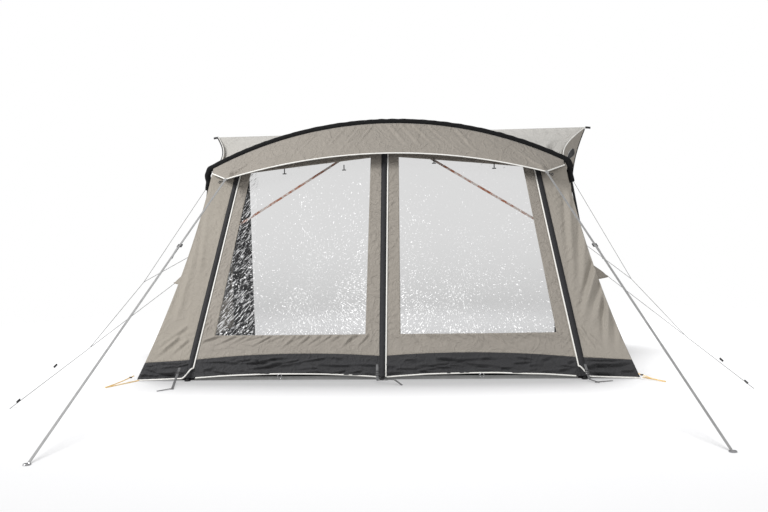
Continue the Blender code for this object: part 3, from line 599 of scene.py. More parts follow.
# Painted shade: the film is made more opaque, and so darker, towards the bottom
painted_low_shade = film_maths("MULTIPLY", film_maths("POWER", low_down, LOW_SHADE_POWER), LOW_SHADE_SHARE)
film_body = film_maths("ADD", film_maths("MULTIPLY_ADD", painted_reflection_mask, 0.34, streaks_in.outputs["Body"]), painted_low_shade)
film_body = film_maths("MULTIPLY_ADD", painted_glint_mask, 0.75, film_body, clamp=True)
streaks.links.new(film_body, streaks_out.inputs["Alpha"])
streaks.links.new(film_maths("ADD", reflection_and_crease_grain, glint_and_crease_grain), streaks_out.inputs["Height"])


def window_grid(lap):
    """The film's grid: the window's opening and a narrow lap behind the cloth round it."""
    across = lap / POLE_SEAM_FOOT
    us = spaced([WINDOW_INNER - across, WINDOW_OUTER + across], CELL * 1.8 / POLE_SEAM_FOOT)
    film_levels = [lambda u: share_at(u, WINDOW_LOW - lap), lambda u: window_top(u) + lap / SEAM_TOP]
    return stacked(us, film_levels, (90,))


for word, side in SIDES.items():
    film = material(
        f"clear_film_{word}", streaks,
        {
            "Color": (*FILM_TINT, 1), "Scatter": PAINTED_REFLECTION_GREY, "Body": 0.17, "Lean": 0.85,
            "Haze": FILM_PAINTED_REFLECTION[word], "Dense Side": side, "Fan X": FAN[word][0], "Fan Z": FAN[word][1],
        },
        bump=0.2, reach=0.002, Specular_IOR_Level=0.2,
    )
    u, v = window_grid(FILM_LAP)
    base = bay(u, v)
    x, z = base[..., 0], base[..., 2]
    move = slack(x, z, 0.0010, 41 + int(side), (1.6, 0.7)) - 0.0045
    panel(
        f"front_window_{word}.film", base, move, (0, -1, 0.4), side, film,
        [f"front_window_{word}"], thick=FILM_THICK,
    )


# The charcoal skirts: a coarser, darker coated cloth sewn under the walls, loose at the hem, so it lies in
# long shallow folds. The wings are the splayed taupe panels outside the front poles.
CORNER_FOOT, REAR_FOOT = np.array([2.09, 0.01, 0.004]), np.array([1.85, DEPTH, 0.0])
EDGE_BOW, SIDE_SAG = 0.060, 0.045
REAR_BOW, REAR_BOW_POWER = 0.115, 2.3
CHARCOAL = (0.030, 0.030, 0.032)
charcoal_cloth = coated_cloth(
    "charcoal_skirt_cloth", CHARCOAL, 0.30, 0.35, 0.9, Sheen_Weight=0.05, Specular_IOR_Level=0.3
)


def wing(u, v):
    """u from the pole seam to the outer corner, v from the hem to the arched seam; its edge bows inwards."""
    low = lerp(hem(np.full_like(u, POLE_SEAM_FOOT)), CORNER_FOOT, u)
    high = seam(POLE_SEAM_TOP + (SHOULDER_X - POLE_SEAM_TOP) * u)
    return lerp(low, high, v) - triple(EDGE_BOW * 4 * v * (1 - v) * u, 0, 0)


def eave(u):
    rail_end = np.array([RAIL_HALF, DEPTH, RAIL_HEIGHT])
    return lerp(seam(np.full_like(u, SHOULDER_X)), rail_end, u) - triple(hollow(u), 0, 0)


def flank(u, v):
    """Side wall: u from the outer corner back to the caravan, v from the ground to the eave."""
    rounded = 4 * v * (1 - v)
    inward = rounded * (EDGE_BOW * (1 - u) + SIDE_SAG * 4 * u * (1 - u))
    inward = inward + REAR_BOW * np.sin(math.pi * np.clip(v, 0, 1) ** REAR_BOW_POWER) * u
    return lerp(lerp(CORNER_FOOT, REAR_FOOT, u), eave(u), v) - triple(inward, 0, 0)


def long_folds(seed, count, reach, rise, width, height):
    """Long shallow folds of a loose skirt, strewn along it."""
    chance = np.random.default_rng(seed)
    found = []
    for _ in range(count):
        s0, t0 = chance.uniform(0, reach), chance.uniform(0.04, rise)
        s1 = s0 + chance.uniform(0.12, 0.42)
        t1 = t0 + chance.uniform(-0.05, 0.05)
        found.append((s0, t0, s1, t1, chance.uniform(0.6, 1.2) * width, height))
    return found


SKIRT_ROWS = 50
STRIP_GAP = 0.09
STRIP_WIDTH, STRIP_START = 0.058, 0.03
WING_LOW_WIDTH, WING_NARROWING = 0.49, 0.175
SKIRT_TOP = 0.19
FRONT, WING_OUT, FLANK_OUT = (0, -1, 0.4), (0.25, -1, 0.4), (1, -0.15, 0.2)
skirt_levels = np.linspace(0, SKIRT_SHARE, SKIRT_ROWS)
# Each skirt's surface, width along the ground, outward side and height of its folds
SKIRTS = (
    ("front_skirt", bay, POLE_SEAM_FOOT, FRONT, 0.0045),
    ("wing_skirt", wing, WING_LOW_WIDTH, WING_OUT, 0.005),
    ("side_skirt", flank, DEPTH, FLANK_OUT, 0.0035),
)
for word, side in SIDES.items():
    for k, (label, surface, wide, outward, height) in enumerate(SKIRTS):
        u, v = np.meshgrid(spaced([0, 1], CELL * 0.8 / wide), skirt_levels)
        base = surface(u, v)
        folds = long_folds(60 + 7 * k + int(side), 8 + int(20 * wide), wide, SKIRT_TOP, 0.012, 2.8 * height)
        free = fastened((SKIRT_SHARE - v, 0.02), (np.minimum(u, 1 - u) * wide, 0.05))
        move = (creases(u * wide, base[..., 2], folds) + slack(u * wide, base[..., 2], 0.003, 71 + k)) * free
        panel(
            f"{label}_{word}.cloth", base, move, outward, side, charcoal_cloth,
            [f"{label}_{word}"],
        )

# Lit and shaded copies of one taupe cloth for each side's wing, side wall and vent hood: painted light, with
# the copy for the shaded right side painted lighter than the lit left
WING_LIT = (0.255, 0.231, 0.197)
WING_SHADED = (0.270, 0.246, 0.213)
painted_light_wing_cloth = {
    "left": coated_cloth("taupe_wing_left", WING_LIT, 0.12, 0.14, 0.45),
    "right": coated_cloth("taupe_wing_right", WING_SHADED, 0.12, 0.14, 0.40),
}
# The long folds of each wing, across and up in metres: start, end, width, height
WING_FOLDS = {
    "left": [
        (1.74, 0.37, 1.98, 0.17, 0.017, 0.014), (1.66, 0.34, 1.84, 0.19, 0.013, 0.010),
        (1.66, 0.46, 2.00, 0.24, 0.016, 0.009), (1.60, 0.28, 1.72, 0.18, 0.010, 0.007),
        (1.62, 0.85, 1.58, 1.70, 0.024, 0.007), (1.80, 0.45, 1.62, 1.30, 0.030, 0.009),
    ],
    "right": [
        (1.84, 1.02, 1.63, 0.40, 0.024, 0.034), (1.98, 0.72, 1.93, 0.16, 0.020, 0.028),
        (1.88, 0.74, 1.84, 0.18, 0.022, 0.028), (1.92, 0.90, 1.72, 0.36, 0.024, 0.028),
        (1.60, 1.60, 1.60, 0.60, 0.026, 0.014), (1.74, 1.45, 1.66, 0.55, 0.026, 0.016),
        (1.62, 0.42, 1.76, 0.20, 0.012, 0.012), (1.68, 0.36, 1.84, 0.20, 0.012, 0.010),
    ],
}
for word, side in SIDES.items():
    across, up = spaced([0, 1], CELL * 0.7 / WING_LOW_WIDTH), spaced([SKIRT_SHARE, 1], CELL / SHOULDER_Z)
    u, v = np.meshgrid(across, up)
    base = wing(u, v)
    x, z = base[..., 0], base[..., 2]
    folds = list(WING_FOLDS[word])
    chance = np.random.default_rng(85 + int(side))
    for k in range(24):
        low = 0.35 + 0.058 * k
        edge = POLE_SEAM_FOOT - 0.16 * low + STRIP_GAP
        reach_out, rise = chance.uniform(0.06, 0.16), chance.uniform(0.03, 0.12)
        size = drawn(chance, (0.006, 0.010), (0.002, 0.006))
        folds.append((edge, low, edge + reach_out, low + rise, *size))
    beyond_sleeve = (u - STRIP_START) * (WING_LOW_WIDTH - WING_NARROWING * v) - STRIP_WIDTH
    free = fastened((v - SKIRT_SHARE, 0.008), (1 - v, 0.02), (beyond_sleeve, 0.03), (1 - u, 0.03))
    move = (creases(x, z, folds) + slack(x, z, 0.0040, 81 + int(side), (1.5, 0.5))) * free
    panel(
        f"wing_wall_{word}.cloth", base, move, WING_OUT, side, painted_light_wing_cloth[word],
        [f"wing_wall_{word}"],
    )


# The side walls: the same taupe cloth running back to the caravan, drawn hollow between the outer corner, the
# shoulder and the rail, with a tinted window cut through and a dark flap that lies flat on the caravan.
PANE_FRONT, PANE_BACK, PANE_LOW, PANE_HIGH = 0.50, 0.92, 0.24, 0.84
side_us = spaced([0, PANE_FRONT, PANE_BACK, 1], CELL * 1.3 / DEPTH)
side_vs = spaced([SKIRT_SHARE, PANE_LOW, PANE_HIGH, 1], CELL * 1.1 / SHOULDER_Z)
u, v = np.meshgrid(side_us, side_vs)
across_pane = cells_between(side_us, PANE_FRONT, PANE_BACK)
flank_keep = ~(cells_between(side_vs, PANE_LOW, PANE_HIGH)[:, None] & across_pane[None])
tinted_film = material(
    "tinted_side_film", streaks,
    {
        "Color": (0.018, 0.018, 0.020, 1), "Scatter": (0.05, 0.05, 0.055, 1), "Body": 0.60,
        "Amount": -3.0, "Haze": 0.0,
    },
    bump=0.3, reach=0.002,
)
FLAP_INNER_FOOT, FLAP_INNER_TOP = (1.632, DEPTH, 0.0), (1.655, DEPTH, RAIL_HEIGHT)
FLAP_ROWS, FLAP_COLUMNS = 70, 16
for word, side in SIDES.items():
    base = flank(u, v)
    y, z = base[..., 1], base[..., 2]
    chance = np.random.default_rng(91 + int(side))
    folds = [
        (0.10, 0.25, 0.95, 1.55, 0.035, 0.006), (0.25, 0.22, 1.25, 1.05, 0.030, 0.005),
        (2.35, 0.30, 2.25, 1.95, 0.030, 0.005), (1.20, 1.72, 2.30, 1.95, 0.022, 0.005),
    ]
    for k in range(8):
        start = 1.28 + 0.14 * k
        end = (start + chance.uniform(-0.05, 0.05), 0.40 - chance.uniform(0.08, 0.15))
        folds.append((start, 0.40, *end, 0.010, 0.005))
    free = fastened((np.minimum(u, 1 - u), 0.02), (v - SKIRT_SHARE, 0.01), (1 - v, 0.02))
    move = (creases(y, z, folds) + slack(y, z, 0.003, 95 + int(side))) * free
    # The cloth lies still under the vent hood
    quiet = 1 - smooth(1 - np.hypot((u - 0.19) / 0.16, (v - 0.45) / 0.10))
    panel(
        f"side_wall_{word}.cloth", base, move * quiet, FLANK_OUT, side, painted_light_wing_cloth[word],
        [f"side_wall_{word}"], keep=flank_keep,
    )
    lap_u, lap_v = FILM_LAP / DEPTH, FILM_LAP / SHOULDER_Z
    film_u = spaced([PANE_FRONT - lap_u, PANE_BACK + lap_u], CELL * 1.3 / DEPTH)
    film_v = spaced([PANE_LOW - lap_v, PANE_HIGH + lap_v], CELL * 1.1 / SHOULDER_Z)
    base = flank(*np.meshgrid(film_u, film_v))
    move = slack(base[..., 1], base[..., 2], 0.0012, 97) - 0.0050
    panel(
        f"side_window_{word}.film", base, move, FLANK_OUT, side, tinted_film,
        [f"side_window_{word}"], thick=FILM_THICK,
    )
    # The flap behind the rear edge
    columns, rows = np.meshgrid(np.linspace(0, 1, FLAP_COLUMNS), np.linspace(0, 1, FLAP_ROWS))
    inner = lerp(np.array(FLAP_INNER_FOOT), np.array(FLAP_INNER_TOP), rows)
    base = lerp(inner, flank(np.ones_like(rows), rows) - np.array([0.006, 0, 0]), columns)
    base[..., 1] = DEPTH - 0.003
    base[..., 2] = np.clip(base[..., 2], 0.002, RAIL_HEIGHT - 0.004)
    ripple = slack(base[..., 0] * 2.5, base[..., 2] * 0.4, 0.0016, 99) - 0.0006
    panel(
        f"rear_flap_{word}.cloth", base, ripple, (0, -1, 0), side, charcoal_cloth,
        [f"rear_flap_{word}"],
    )


# The front beam: one steel arch in a black sleeve sewn over the roof's front seam, gathered a little along
# it and bent round the shoulders down to the steel legs, which stand on the ground outside the side walls.
SLEEVE_RADIUS = 0.028
BEAM_BEND = (
    (SHOULDER_X + 0.024, SEAM_Y - 0.006, SHOULDER_Z + 0.020),
    (SHOULDER_X + 0.033, SEAM_Y - 0.002, SHOULDER_Z + 0.003),
    (SHOULDER_X + 0.049, SEAM_Y + 0.006, SHOULDER_Z - 0.036),
)
SLEEVE_END = (1.6454, 0.8003, 1.6247)
SLEEVE_LAST = (1.6296, 0.7772, 1.6996)
BLACK = (0.005, 0.005, 0.0055)
black_cloth = coated_cloth(
    "black_sleeve_cloth", BLACK, 0.4, 0.3, 0.3, Sheen_Weight=0.03, Specular_IOR_Level=0.15
)


def beam_centre(x):
    lift = triple(x / SEAM_RADIUS, -0.30, 1.0)
    lift /= np.linalg.norm(lift, axis=-1, keepdims=True)
    return seam(x) + lift * (SLEEVE_RADIUS + 0.0004)


def even_path(points, step):
    """Points at even steps along a polyline, its corners rounded a little."""
    points = np.array(points, float)
    lengths = np.concatenate([[0], np.linalg.norm(np.diff(points, axis=0), axis=1).cumsum()])
    spots = np.linspace(0, lengths[-1], max(2, int(lengths[-1] / step) + 1))
    return np.stack([np.interp(spots, lengths, points[:, k]) for k in range(3)], -1)


def swept_tube(name, path, radii, paint, around):
    """A closed round tube; radii is a grid of radius along and around, and its map lies along it."""
    ahead = np.gradient(path, axis=0)
    ahead /= np.linalg.norm(ahead, axis=1, keepdims=True)
    guide = np.array([0.0, 1.0, 0.0])
    guide = guide - ahead * (ahead @ guide)[:, None]
    guide /= np.linalg.norm(guide, axis=1, keepdims=True)
    across = np.cross(ahead, guide)
    angles = np.linspace(0, 2 * math.pi, around, endpoint=False)
    rim = guide[:, None] * np.cos(angles)[None, :, None] + across[:, None] * np.sin(angles)[None, :, None]
    points = path[:, None] + rim * radii[..., None]
    rows = len(path)
    index = np.arange(rows * around).reshape(rows, around)
    turned = np.roll(index, -1, axis=1)
    quads = np.stack([index[:-1], turned[:-1], turned[1:], index[1:]], -1).reshape(-1, 4)
    faces = quads.tolist() + [index[0][::-1].tolist(), index[-1].tolist()]
    mesh = bpy.data.meshes.new(name)
    mesh.from_pydata(points.reshape(-1, 3).tolist(), [], faces)
    run = np.concatenate([[0], np.linalg.norm(np.diff(path, axis=0), axis=1).cumsum()])
    layer = mesh.uv_layers.new(name="cut")
    girth = 2 * math.pi * float(radii.mean()) / around
    corners = [(run[i // around], (i % around) * girth) for face in faces for i in face]
    layer.data.foreach_set("uv", np.array(corners, np.float32).ravel())
    shape = bmesh.new()
    shape.from_mesh(mesh)
    bmesh.ops.recalc_face_normals(shape, faces=shape.faces)
    shape.to_mesh(mesh)
    shape.free()
    mesh.shade_smooth()
    mesh.materials.append(paint)
    return placed(name, mesh)


half = [beam_centre(x) for x in np.linspace(0, SHOULDER_X, 60)] + [np.array(p) for p in BEAM_BEND]
half += [np.array(SLEEVE_LAST), np.array(SLEEVE_END)]
whole = [p * np.array([-1, 1, 1]) for p in reversed(half[1:])] + half
SLEEVE_STEP, SLEEVE_SIDES = 0.012, 28
path = even_path(whole, SLEEVE_STEP)
around = np.linspace(0, 2 * math.pi, SLEEVE_SIDES, endpoint=False)
turns, along = np.meshgrid(around, np.arange(len(path)) * SLEEVE_STEP)
pucker = np.random.default_rng(5)
wrinkles = np.zeros_like(turns)
for _ in range(9):
    count, length, phase = pucker.integers(1, 4), pucker.uniform(0.05, 0.22), pucker.uniform(0, 6.28)
    wrinkles += np.sin(turns * count + phase) * np.sin(along * 2 * math.pi / length + phase * 3)
radii = SLEEVE_RADIUS * (0.985 + 0.018 * wrinkles)
sleeve = swept_tube("front_beam.sleeve", path, radii, black_cloth, SLEEVE_SIDES)
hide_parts("front_beam")


# The peak: a taupe cloth sewn to the sleeve's front, hanging forward in one curve to its two corners, where
# the storm straps pull, and turned back from there to the shoulders.
PEAK_CORNER = (1.40, 0.50, 1.707)
PEAK_MIDDLE_Z, PEAK_POWER, PEAK_CREASE, PEAK_THICK = 1.900, 2.0, 0.86, 0.0016
PEAK_RETURN = np.array([SHOULDER_X - 0.008, SEAM_Y - 0.045, SHOULDER_Z - 0.020])
# Folds that run down the peak: where each starts, how far it leans outwards, and its width
PEAK_FOLDS_RIGHT = (
    (0.03, 0.22, 0.018), (0.13, 0.25, 0.014), (0.24, 0.28, 0.013), (0.38, 0.30, 0.013), (0.62, 0.24, 0.016),
)
PEAK_FOLDS_LEFT = ((-0.10, -0.18, 0.013), (-0.20, -0.20, 0.015), (-0.34, -0.22, 0.013), (-0.60, -0.22, 0.014))


def peak_lower(t):
    share = np.minimum(1.0, np.abs(t) / PEAK_CREASE)
    z = PEAK_MIDDLE_Z - (PEAK_MIDDLE_Z - PEAK_CORNER[2]) * share**PEAK_POWER
    edge = triple(PEAK_CORNER[0] * share, PEAK_CORNER[1], z)
    back = np.clip((np.abs(t) - PEAK_CREASE) / (1 - PEAK_CREASE), 0, 1)
    point = lerp(edge, PEAK_RETURN, back)
    return point * np.stack([np.where(t < 0, -1.0, 1.0), np.ones_like(t), np.ones_like(t)], -1)


def peak_upper(t):
    x = t * (SHOULDER_X - 0.02)
    tilt = x / SEAM_RADIUS
    front = triple(-0.51 * tilt, -0.86, -0.51 * np.sqrt(1 - tilt**2))
    return beam_centre(x) + front * (SLEEVE_RADIUS + 0.0012)


ts = spaced([-1, -PEAK_CREASE, 0, PEAK_CREASE, 1], CELL * 0.8 / SHOULDER_X)
t, share = np.meshgrid(ts, np.linspace(0, 1, 26))
base = lerp(peak_lower(t), peak_upper(t), share)
x = base[..., 0]
folds = [(place, 1.0, place + lean, 0.05, width, 0.011) for place, lean, width in PEAK_FOLDS_RIGHT]
folds += [(place, 1.0, place + lean, 0.10, width, 0.009) for place, lean, width in PEAK_FOLDS_LEFT]
for side in SIDES.values():
    for k in range(5):
        folds.append((side * 1.39, 0.03, side * (1.02 + 0.07 * k), 1.0, 0.016, 0.010))
from_crease = np.abs(np.abs(t) - PEAK_CREASE)
free = fastened((share, 0.10), (1 - share, 0.06), (from_crease, 0.015), (1 - np.abs(t), 0.02))
move = (creases(x, share, folds) + slack(x, share * 0.4, 0.0045, 105, (1.0, 0.3))) * free
panel(
    "front_peak.cloth", base, move, (0, -1, 0.6), 1.0, taupe_cloth, ["front_peak"],
    thick=PEAK_THICK,
)


# White piping: a cord of coated cloth sewn into the seams, round the hems, the pole sleeves, the peak and the
# eaves. It is swept along the seams' own lines.
def growth(name, inputs):
    """A Geometry Nodes tree that takes lines in and gives a mesh out, with these named inputs."""
    made = bpy.data.node_groups.new(name, "GeometryNodeTree")
    made.interface.new_socket("Geometry", in_out="INPUT", socket_type="NodeSocketGeometry")
    for label, kind in inputs.items():
        made.interface.new_socket(label, in_out="INPUT", socket_type=kind)
    made.interface.new_socket("Geometry", in_out="OUTPUT", socket_type="NodeSocketGeometry")
    return made, made.nodes.new("NodeGroupInput"), made.nodes.new("NodeGroupOutput")


def finish_growth(tree, mesh, group_in, group_out):
    real = node(tree, "GeometryNodeRealizeInstances", {0: mesh})
    inputs = {"Geometry": real.outputs[0], "Material": group_in.outputs["Paint"]}
    painted = node(tree, "GeometryNodeSetMaterial", inputs)
    tree.links.new(painted.outputs[0], group_out.inputs[0])


piping, piping_in, piping_out = growth(
    "piping", {"Radius": "NodeSocketFloat", "Sides": "NodeSocketInt", "Paint": "NodeSocketMaterial"}
)
line = node(piping, "GeometryNodeMeshToCurve", {0: piping_in.outputs["Geometry"]})
profile = node(
    piping, "GeometryNodeCurvePrimitiveCircle",
    {"Radius": piping_in.outputs["Radius"], "Resolution": piping_in.outputs["Sides"]},
)
swept = node(
    piping, "GeometryNodeCurveToMesh",
    {"Curve": line.outputs[0], "Profile Curve": profile.outputs[0], "Fill Caps": True},
)
finish_growth(piping, swept.outputs[0], piping_in, piping_out)


def grown(name, tree, paths, slot, **values):
    """Runs a tree along these lines and keeps the plain mesh that it makes as one piece."""
    verts, edges = [], []
    for path in paths:
        edges += [(len(verts) + i, len(verts) + i + 1) for i in range(len(path) - 1)]
        verts += [tuple(map(float, p)) for p in path]
    lines = bpy.data.meshes.new(name + "_lines")
    lines.from_pydata(verts, edges, [])
    carrier = bpy.data.objects.new(name + "_lines", lines)
    bpy.context.collection.objects.link(carrier)
    growing = carrier.modifiers.new("grow", "NODES")
    growing.node_group = tree
    for item in tree.interface.items_tree:
        label = item.name.replace(" ", "_")
        if item.in_out == "INPUT" and label in values:
            growing[item.identifier] = values[label]
    bpy.context.view_layer.update()
    made = bpy.data.meshes.new_from_object(carrier.evaluated_get(bpy.context.evaluated_depsgraph_get()))
    bpy.data.objects.remove(carrier)
    made.name = name
    made.shade_smooth()
    return placed(name, made)


def corded(name, lines, slot, paint, radius, sides=8):
    """Round cord, piping or wire along these lines, as one piece."""
    return grown(name, piping, lines, slot, Radius=radius, Sides=sides, Paint=paint)


# Fine grain: small-scale unevenness and scuffs on trims, cords, plastic and painted metal
grain, grain_in, grain_out = group(
    "fine_grain",
    {
        "Color": ("NodeSocketColor", (0.5, 0.5, 0.5, 1)),
        "Worn": ("NodeSocketColor", (0.5, 0.5, 0.5, 1)),
        "Scale": ("NodeSocketFloat", 300.0),
        "Shine": ("NodeSocketFloat", 0.5),
        "Wear": ("NodeSocketFloat", 0.3),
        "Ribs": ("NodeSocketFloat", 0.0),
    },
    {"Color": "NodeSocketColor", "Roughness": "NodeSocketFloat", "Height": "NodeSocketFloat"},
)
grain_maths = partial(maths, grain)
where = node(grain, "ShaderNodeTexCoord")
fine = noise(grain, where.outputs["Object"], grain_in.outputs["Scale"], 3.0, 0.6)
scuffed = noise(grain, where.outputs["Object"], 17.0, 5.0, 0.7)
ribs = node(
    grain, "ShaderNodeTexWave", {"Vector": where.outputs["Object"], "Scale": 62.0},
    wave_type="BANDS", bands_direction="DIAGONAL", wave_profile="SIN",
)
ribbed = grain_maths("MULTIPLY", ribs.outputs["Fac"], grain_in.outputs["Ribs"])
scuffed = grain_maths("MULTIPLY_ADD", scuffed, 3.2, -1.35, clamp=True)
rubbed = grain_maths("MULTIPLY", scuffed, grain_in.outputs["Wear"])
darker = grain_maths("MULTIPLY_ADD", fine, 0.24, 0.88)
darker = grain_maths("SUBTRACT", darker, grain_maths("MULTIPLY", ribbed, 0.35))
shaded = node(
    grain, "ShaderNodeVectorMath", {0: grain_in.outputs["Color"], "Scale": darker}, operation="SCALE"
)
worn = mixed(grain, rubbed, shaded.outputs["Vector"], grain_in.outputs["Worn"])
dull = grain_maths("MULTIPLY_ADD", rubbed, 0.2, grain_in.outputs["Shine"])
grain.links.new(worn, grain_out.inputs["Color"])
grain.links.new(dull, grain_out.inputs["Roughness"])
grain.links.new(grain_maths("ADD", fine, ribbed), grain_out.inputs["Height"])


def trim(name, colour, worn, scale=300.0, shine=0.5, wear=0.3, ribs=0.0, **more):
    values = {
        "Color": (*colour, 1), "Worn": (*worn, 1), "Scale": scale, "Shine": shine, "Wear": wear, "Ribs": ribs,
    }
    return material(name, grain, values, **{"bump": 0.4, "reach": 0.0005, **more})


white_piping = trim("white_piping", (0.74, 0.73, 0.70), (0.60, 0.58, 0.53), 400.0, 0.55, 0.5, reach=0.0003)


def on_side(points, side):
    return np.asarray(points) * np.array([side, 1.0, 1.0])


def lifted(surface, u, v, distance, outward):
    """Points this far outside a surface."""
    u, v = np.broadcast_arrays(np.asarray(u, float), np.asarray(v, float))
    step = 0.004
    along_u = surface(u + step, v) - surface(u - step, v)
    along_v = surface(u, v + step) - surface(u, v - step)
    normal = np.cross(along_u, along_v)
    normal /= np.linalg.norm(normal, axis=-1, keepdims=True)
    normal *= np.where(normal @ np.array(outward, float) < 0, -1.0, 1.0)[..., None]
    return surface(u, v) + normal * np.asarray(distance)[..., None]


# The pole sleeves: three flat charcoal sleeves sewn down the front from the seam to the hem, each with a pole
# in it that rounds its middle. White piping runs down one edge of each and turns out along the hem.
STRIP_TOP = 0.955
POLE_BULGE, STRIP_SEAT = 0.0135, 0.0018
STRIP_DARK = (0.022, 0.022, 0.024)
strip_cloth = coated_cloth(
    "charcoal_pole_sleeve", STRIP_DARK, 0.3, 0.3, 0.4, Sheen_Weight=0.05, Specular_IOR_Level=0.25
)
strip_rows = np.linspace(0.0, STRIP_TOP, 150)
across = np.linspace(0, 1, 23)


def side_strip(share, v):
    """The wing's u at this share of the sleeve's width."""
    wide = np.linalg.norm(wing(np.ones_like(v), v) - wing(np.zeros_like(v), v), axis=-1)
    return STRIP_START + share * STRIP_WIDTH / wide


def centre_strip(share, v):
    wide = POLE_SEAM_FOOT + (POLE_SEAM_TOP - POLE_SEAM_FOOT) * v
    return (share - 0.5) * STRIP_WIDTH / wide


share, v = np.meshgrid(across, strip_rows)
round_pole = np.clip(1 - ((share - 0.5) / 0.36) ** 2, 0, None) ** 0.6
gathers = 0.0010 * np.sin(v * 2 * math.pi * 17 + 3 * np.sin(v * 31)) * np.abs(share - 0.5) * 2
bulge = STRIP_SEAT + POLE_BULGE * round_pole + gathers * np.abs(round_pole - 1)
unmoved = np.zeros_like(bulge)
# The cut width of a sleeve goes round its pole, so the rounded shape itself is measured
for word, side in SIDES.items():
    base = wing(side_strip(share, v), v)
    base = base + outward_normals(base, WING_OUT) * bulge[..., None]
    panel(
        f"pole_sleeve_{word}.cloth", base, unmoved, WING_OUT, side, strip_cloth,
        [f"pole_sleeve_{word}"],
    )
base = bay(centre_strip(share, v), v)
base = base + outward_normals(base, FRONT) * bulge[..., None]
panel(
    "pole_sleeve_centre.cloth", base, unmoved, FRONT, 1.0, strip_cloth,
    ["pole_sleeve_centre"],
)

PIPING_LIFT = 0.0035
KINK_TOP = 0.040
down = np.linspace(STRIP_TOP, KINK_TOP, 90)
lines = []
for side in SIDES.values():
    straight = lifted(wing, side_strip(np.zeros_like(down), down), down, PIPING_LIFT, WING_OUT)
    turn_share = np.linspace(0, 1, 12)
    turn_v = KINK_TOP * (1 - smooth(turn_share))
    kink = lifted(wing, side_strip(1.25 * turn_share, turn_v), turn_v, 0.018, WING_OUT)
    hem_u = np.linspace(side_strip(np.array([1.35]), np.array([0.0]))[0], 1, 30)
    low = lifted(wing, hem_u, np.zeros_like(hem_u), 0.0035, WING_OUT)
    lines.append(on_side(even_path(np.concatenate([straight, kink, low]), 0.012), side))
full = np.linspace(STRIP_TOP, 0.0, 90)
centre_edge = lifted(bay, centre_strip(np.ones_like(full), full), full, PIPING_LIFT, FRONT)
lines.append(even_path(centre_edge, 0.012))
for side in SIDES.values():
    hem_u = np.linspace(0.022, 0.985, 110)
    drop = slack(hem_u * POLE_SEAM_FOOT, hem_u * 0, 0.002, 111 + int(side)) * smooth((1 - hem_u) / 0.1)
    low = lifted(bay, hem_u, np.zeros_like(hem_u), 0.0035, FRONT) + triple(0, 0, drop)
    lines.append(on_side(low, side))
corded("front_piping", lines, "white_trim", white_piping, 0.0060)

# Round the peak's edge and returns, and along both eaves
lines = [peak_lower(spaced([-1, -PEAK_CREASE, 0, PEAK_CREASE, 1], 0.012)) + np.array([0, -0.002, -0.002])]
corded("peak_piping", lines, "white_trim", white_piping, 0.0058, 10)
eave_line = eave(np.linspace(0.03, 0.99, 120)) + np.array([0.003, 0, 0.003])
lines = [on_side(eave_line, side) for side in SIDES.values()]
corded("eave_piping", lines, "white_trim", white_piping, 0.0045)
black_binding = trim("black_binding", (0.012, 0.012, 0.013), (0.03, 0.03, 0.03), 350.0, 0.6, 0.3)
lines = []
for side in SIDES.values():
    rows = np.linspace(0.01, 0.99, 150)
    lines.append(on_side(flank(np.ones_like(rows), rows) + np.array([-0.001, -0.008, 0]), side))
    if side < 0:
        lines.append(on_side(eave(np.linspace(0.05, 0.985, 110)) + np.array([0.011, 0, -0.001]), side))
corded("rear_binding", lines, "black_cloth", black_binding, 0.0075, 10)


# The stitching: two rows of thread along each window and the skirt seam, pale on the taupe cloth, and one row
# of dark thread down each edge of the pole sleeves.
stitches, stitches_in, stitches_out = growth(
    "stitches",
    {
        "Pitch": "NodeSocketFloat", "Length": "NodeSocketFloat", "Thread": "NodeSocketFloat",
        "Paint": "NodeSocketMaterial",
    },
)
line = node(stitches, "GeometryNodeMeshToCurve", {0: stitches_in.outputs["Geometry"]})
steps = {"Curve": line.outputs[0], "Length": stitches_in.outputs["Pitch"]}
even = node(stitches, "GeometryNodeResampleCurve", steps, mode="LENGTH")
spots = node(stitches, "GeometryNodeCurveToPoints", {0: even.outputs[0]}, mode="EVALUATED")
thread_mesh = node(
    stitches, "GeometryNodeMeshCylinder",
    {"Vertices": 5, "Radius": stitches_in.outputs["Thread"], "Depth": stitches_in.outputs["Length"]},
)
place_each = node(
    stitches, "GeometryNodeInstanceOnPoints",
    {
        "Points": spots.outputs["Points"], "Rotation": spots.outputs["Rotation"],
        "Instance": thread_mesh.outputs["Mesh"],
    },
)
finish_growth(stitches, place_each.outputs[0], stitches_in, stitches_out)

pale_thread = trim("pale_thread", (0.50, 0.46, 0.40), (0.55, 0.52, 0.46), 500.0, 0.6, 0.2)
dark_thread = trim("dark_thread", (0.05, 0.05, 0.05), (0.08, 0.08, 0.08), 500.0, 0.6, 0.2)
STITCH_PITCH, STITCH_LENGTH, THREAD = 0.0055, 0.0038, 0.0007
THREAD_LIFT = 0.001


def stitched(name, lines, slot, paint):
    """A row of stitches along each of these lines, as one piece."""
    return grown(
        name, stitches, lines, slot, Pitch=STITCH_PITCH, Length=STITCH_LENGTH, Thread=THREAD, Paint=paint
    )


def window_frame(margin, distance):
    """A closed line round the window's opening, this far out from its edge."""
    du = margin / POLE_SEAM_FOOT
    us = np.linspace(WINDOW_INNER - du, WINDOW_OUTER + du, 80)
    bottom = lifted(bay, us, share_at(us, WINDOW_LOW - margin), distance, FRONT)
    top = lifted(bay, us, window_top(us) + margin / SEAM_TOP, distance, FRONT)
    left = np.linspace(bottom[0], top[0], 90)
    right = np.linspace(bottom[-1], top[-1], 90)
    return np.concatenate([bottom, right[1:], top[::-1][1:], left[::-1][1:]])


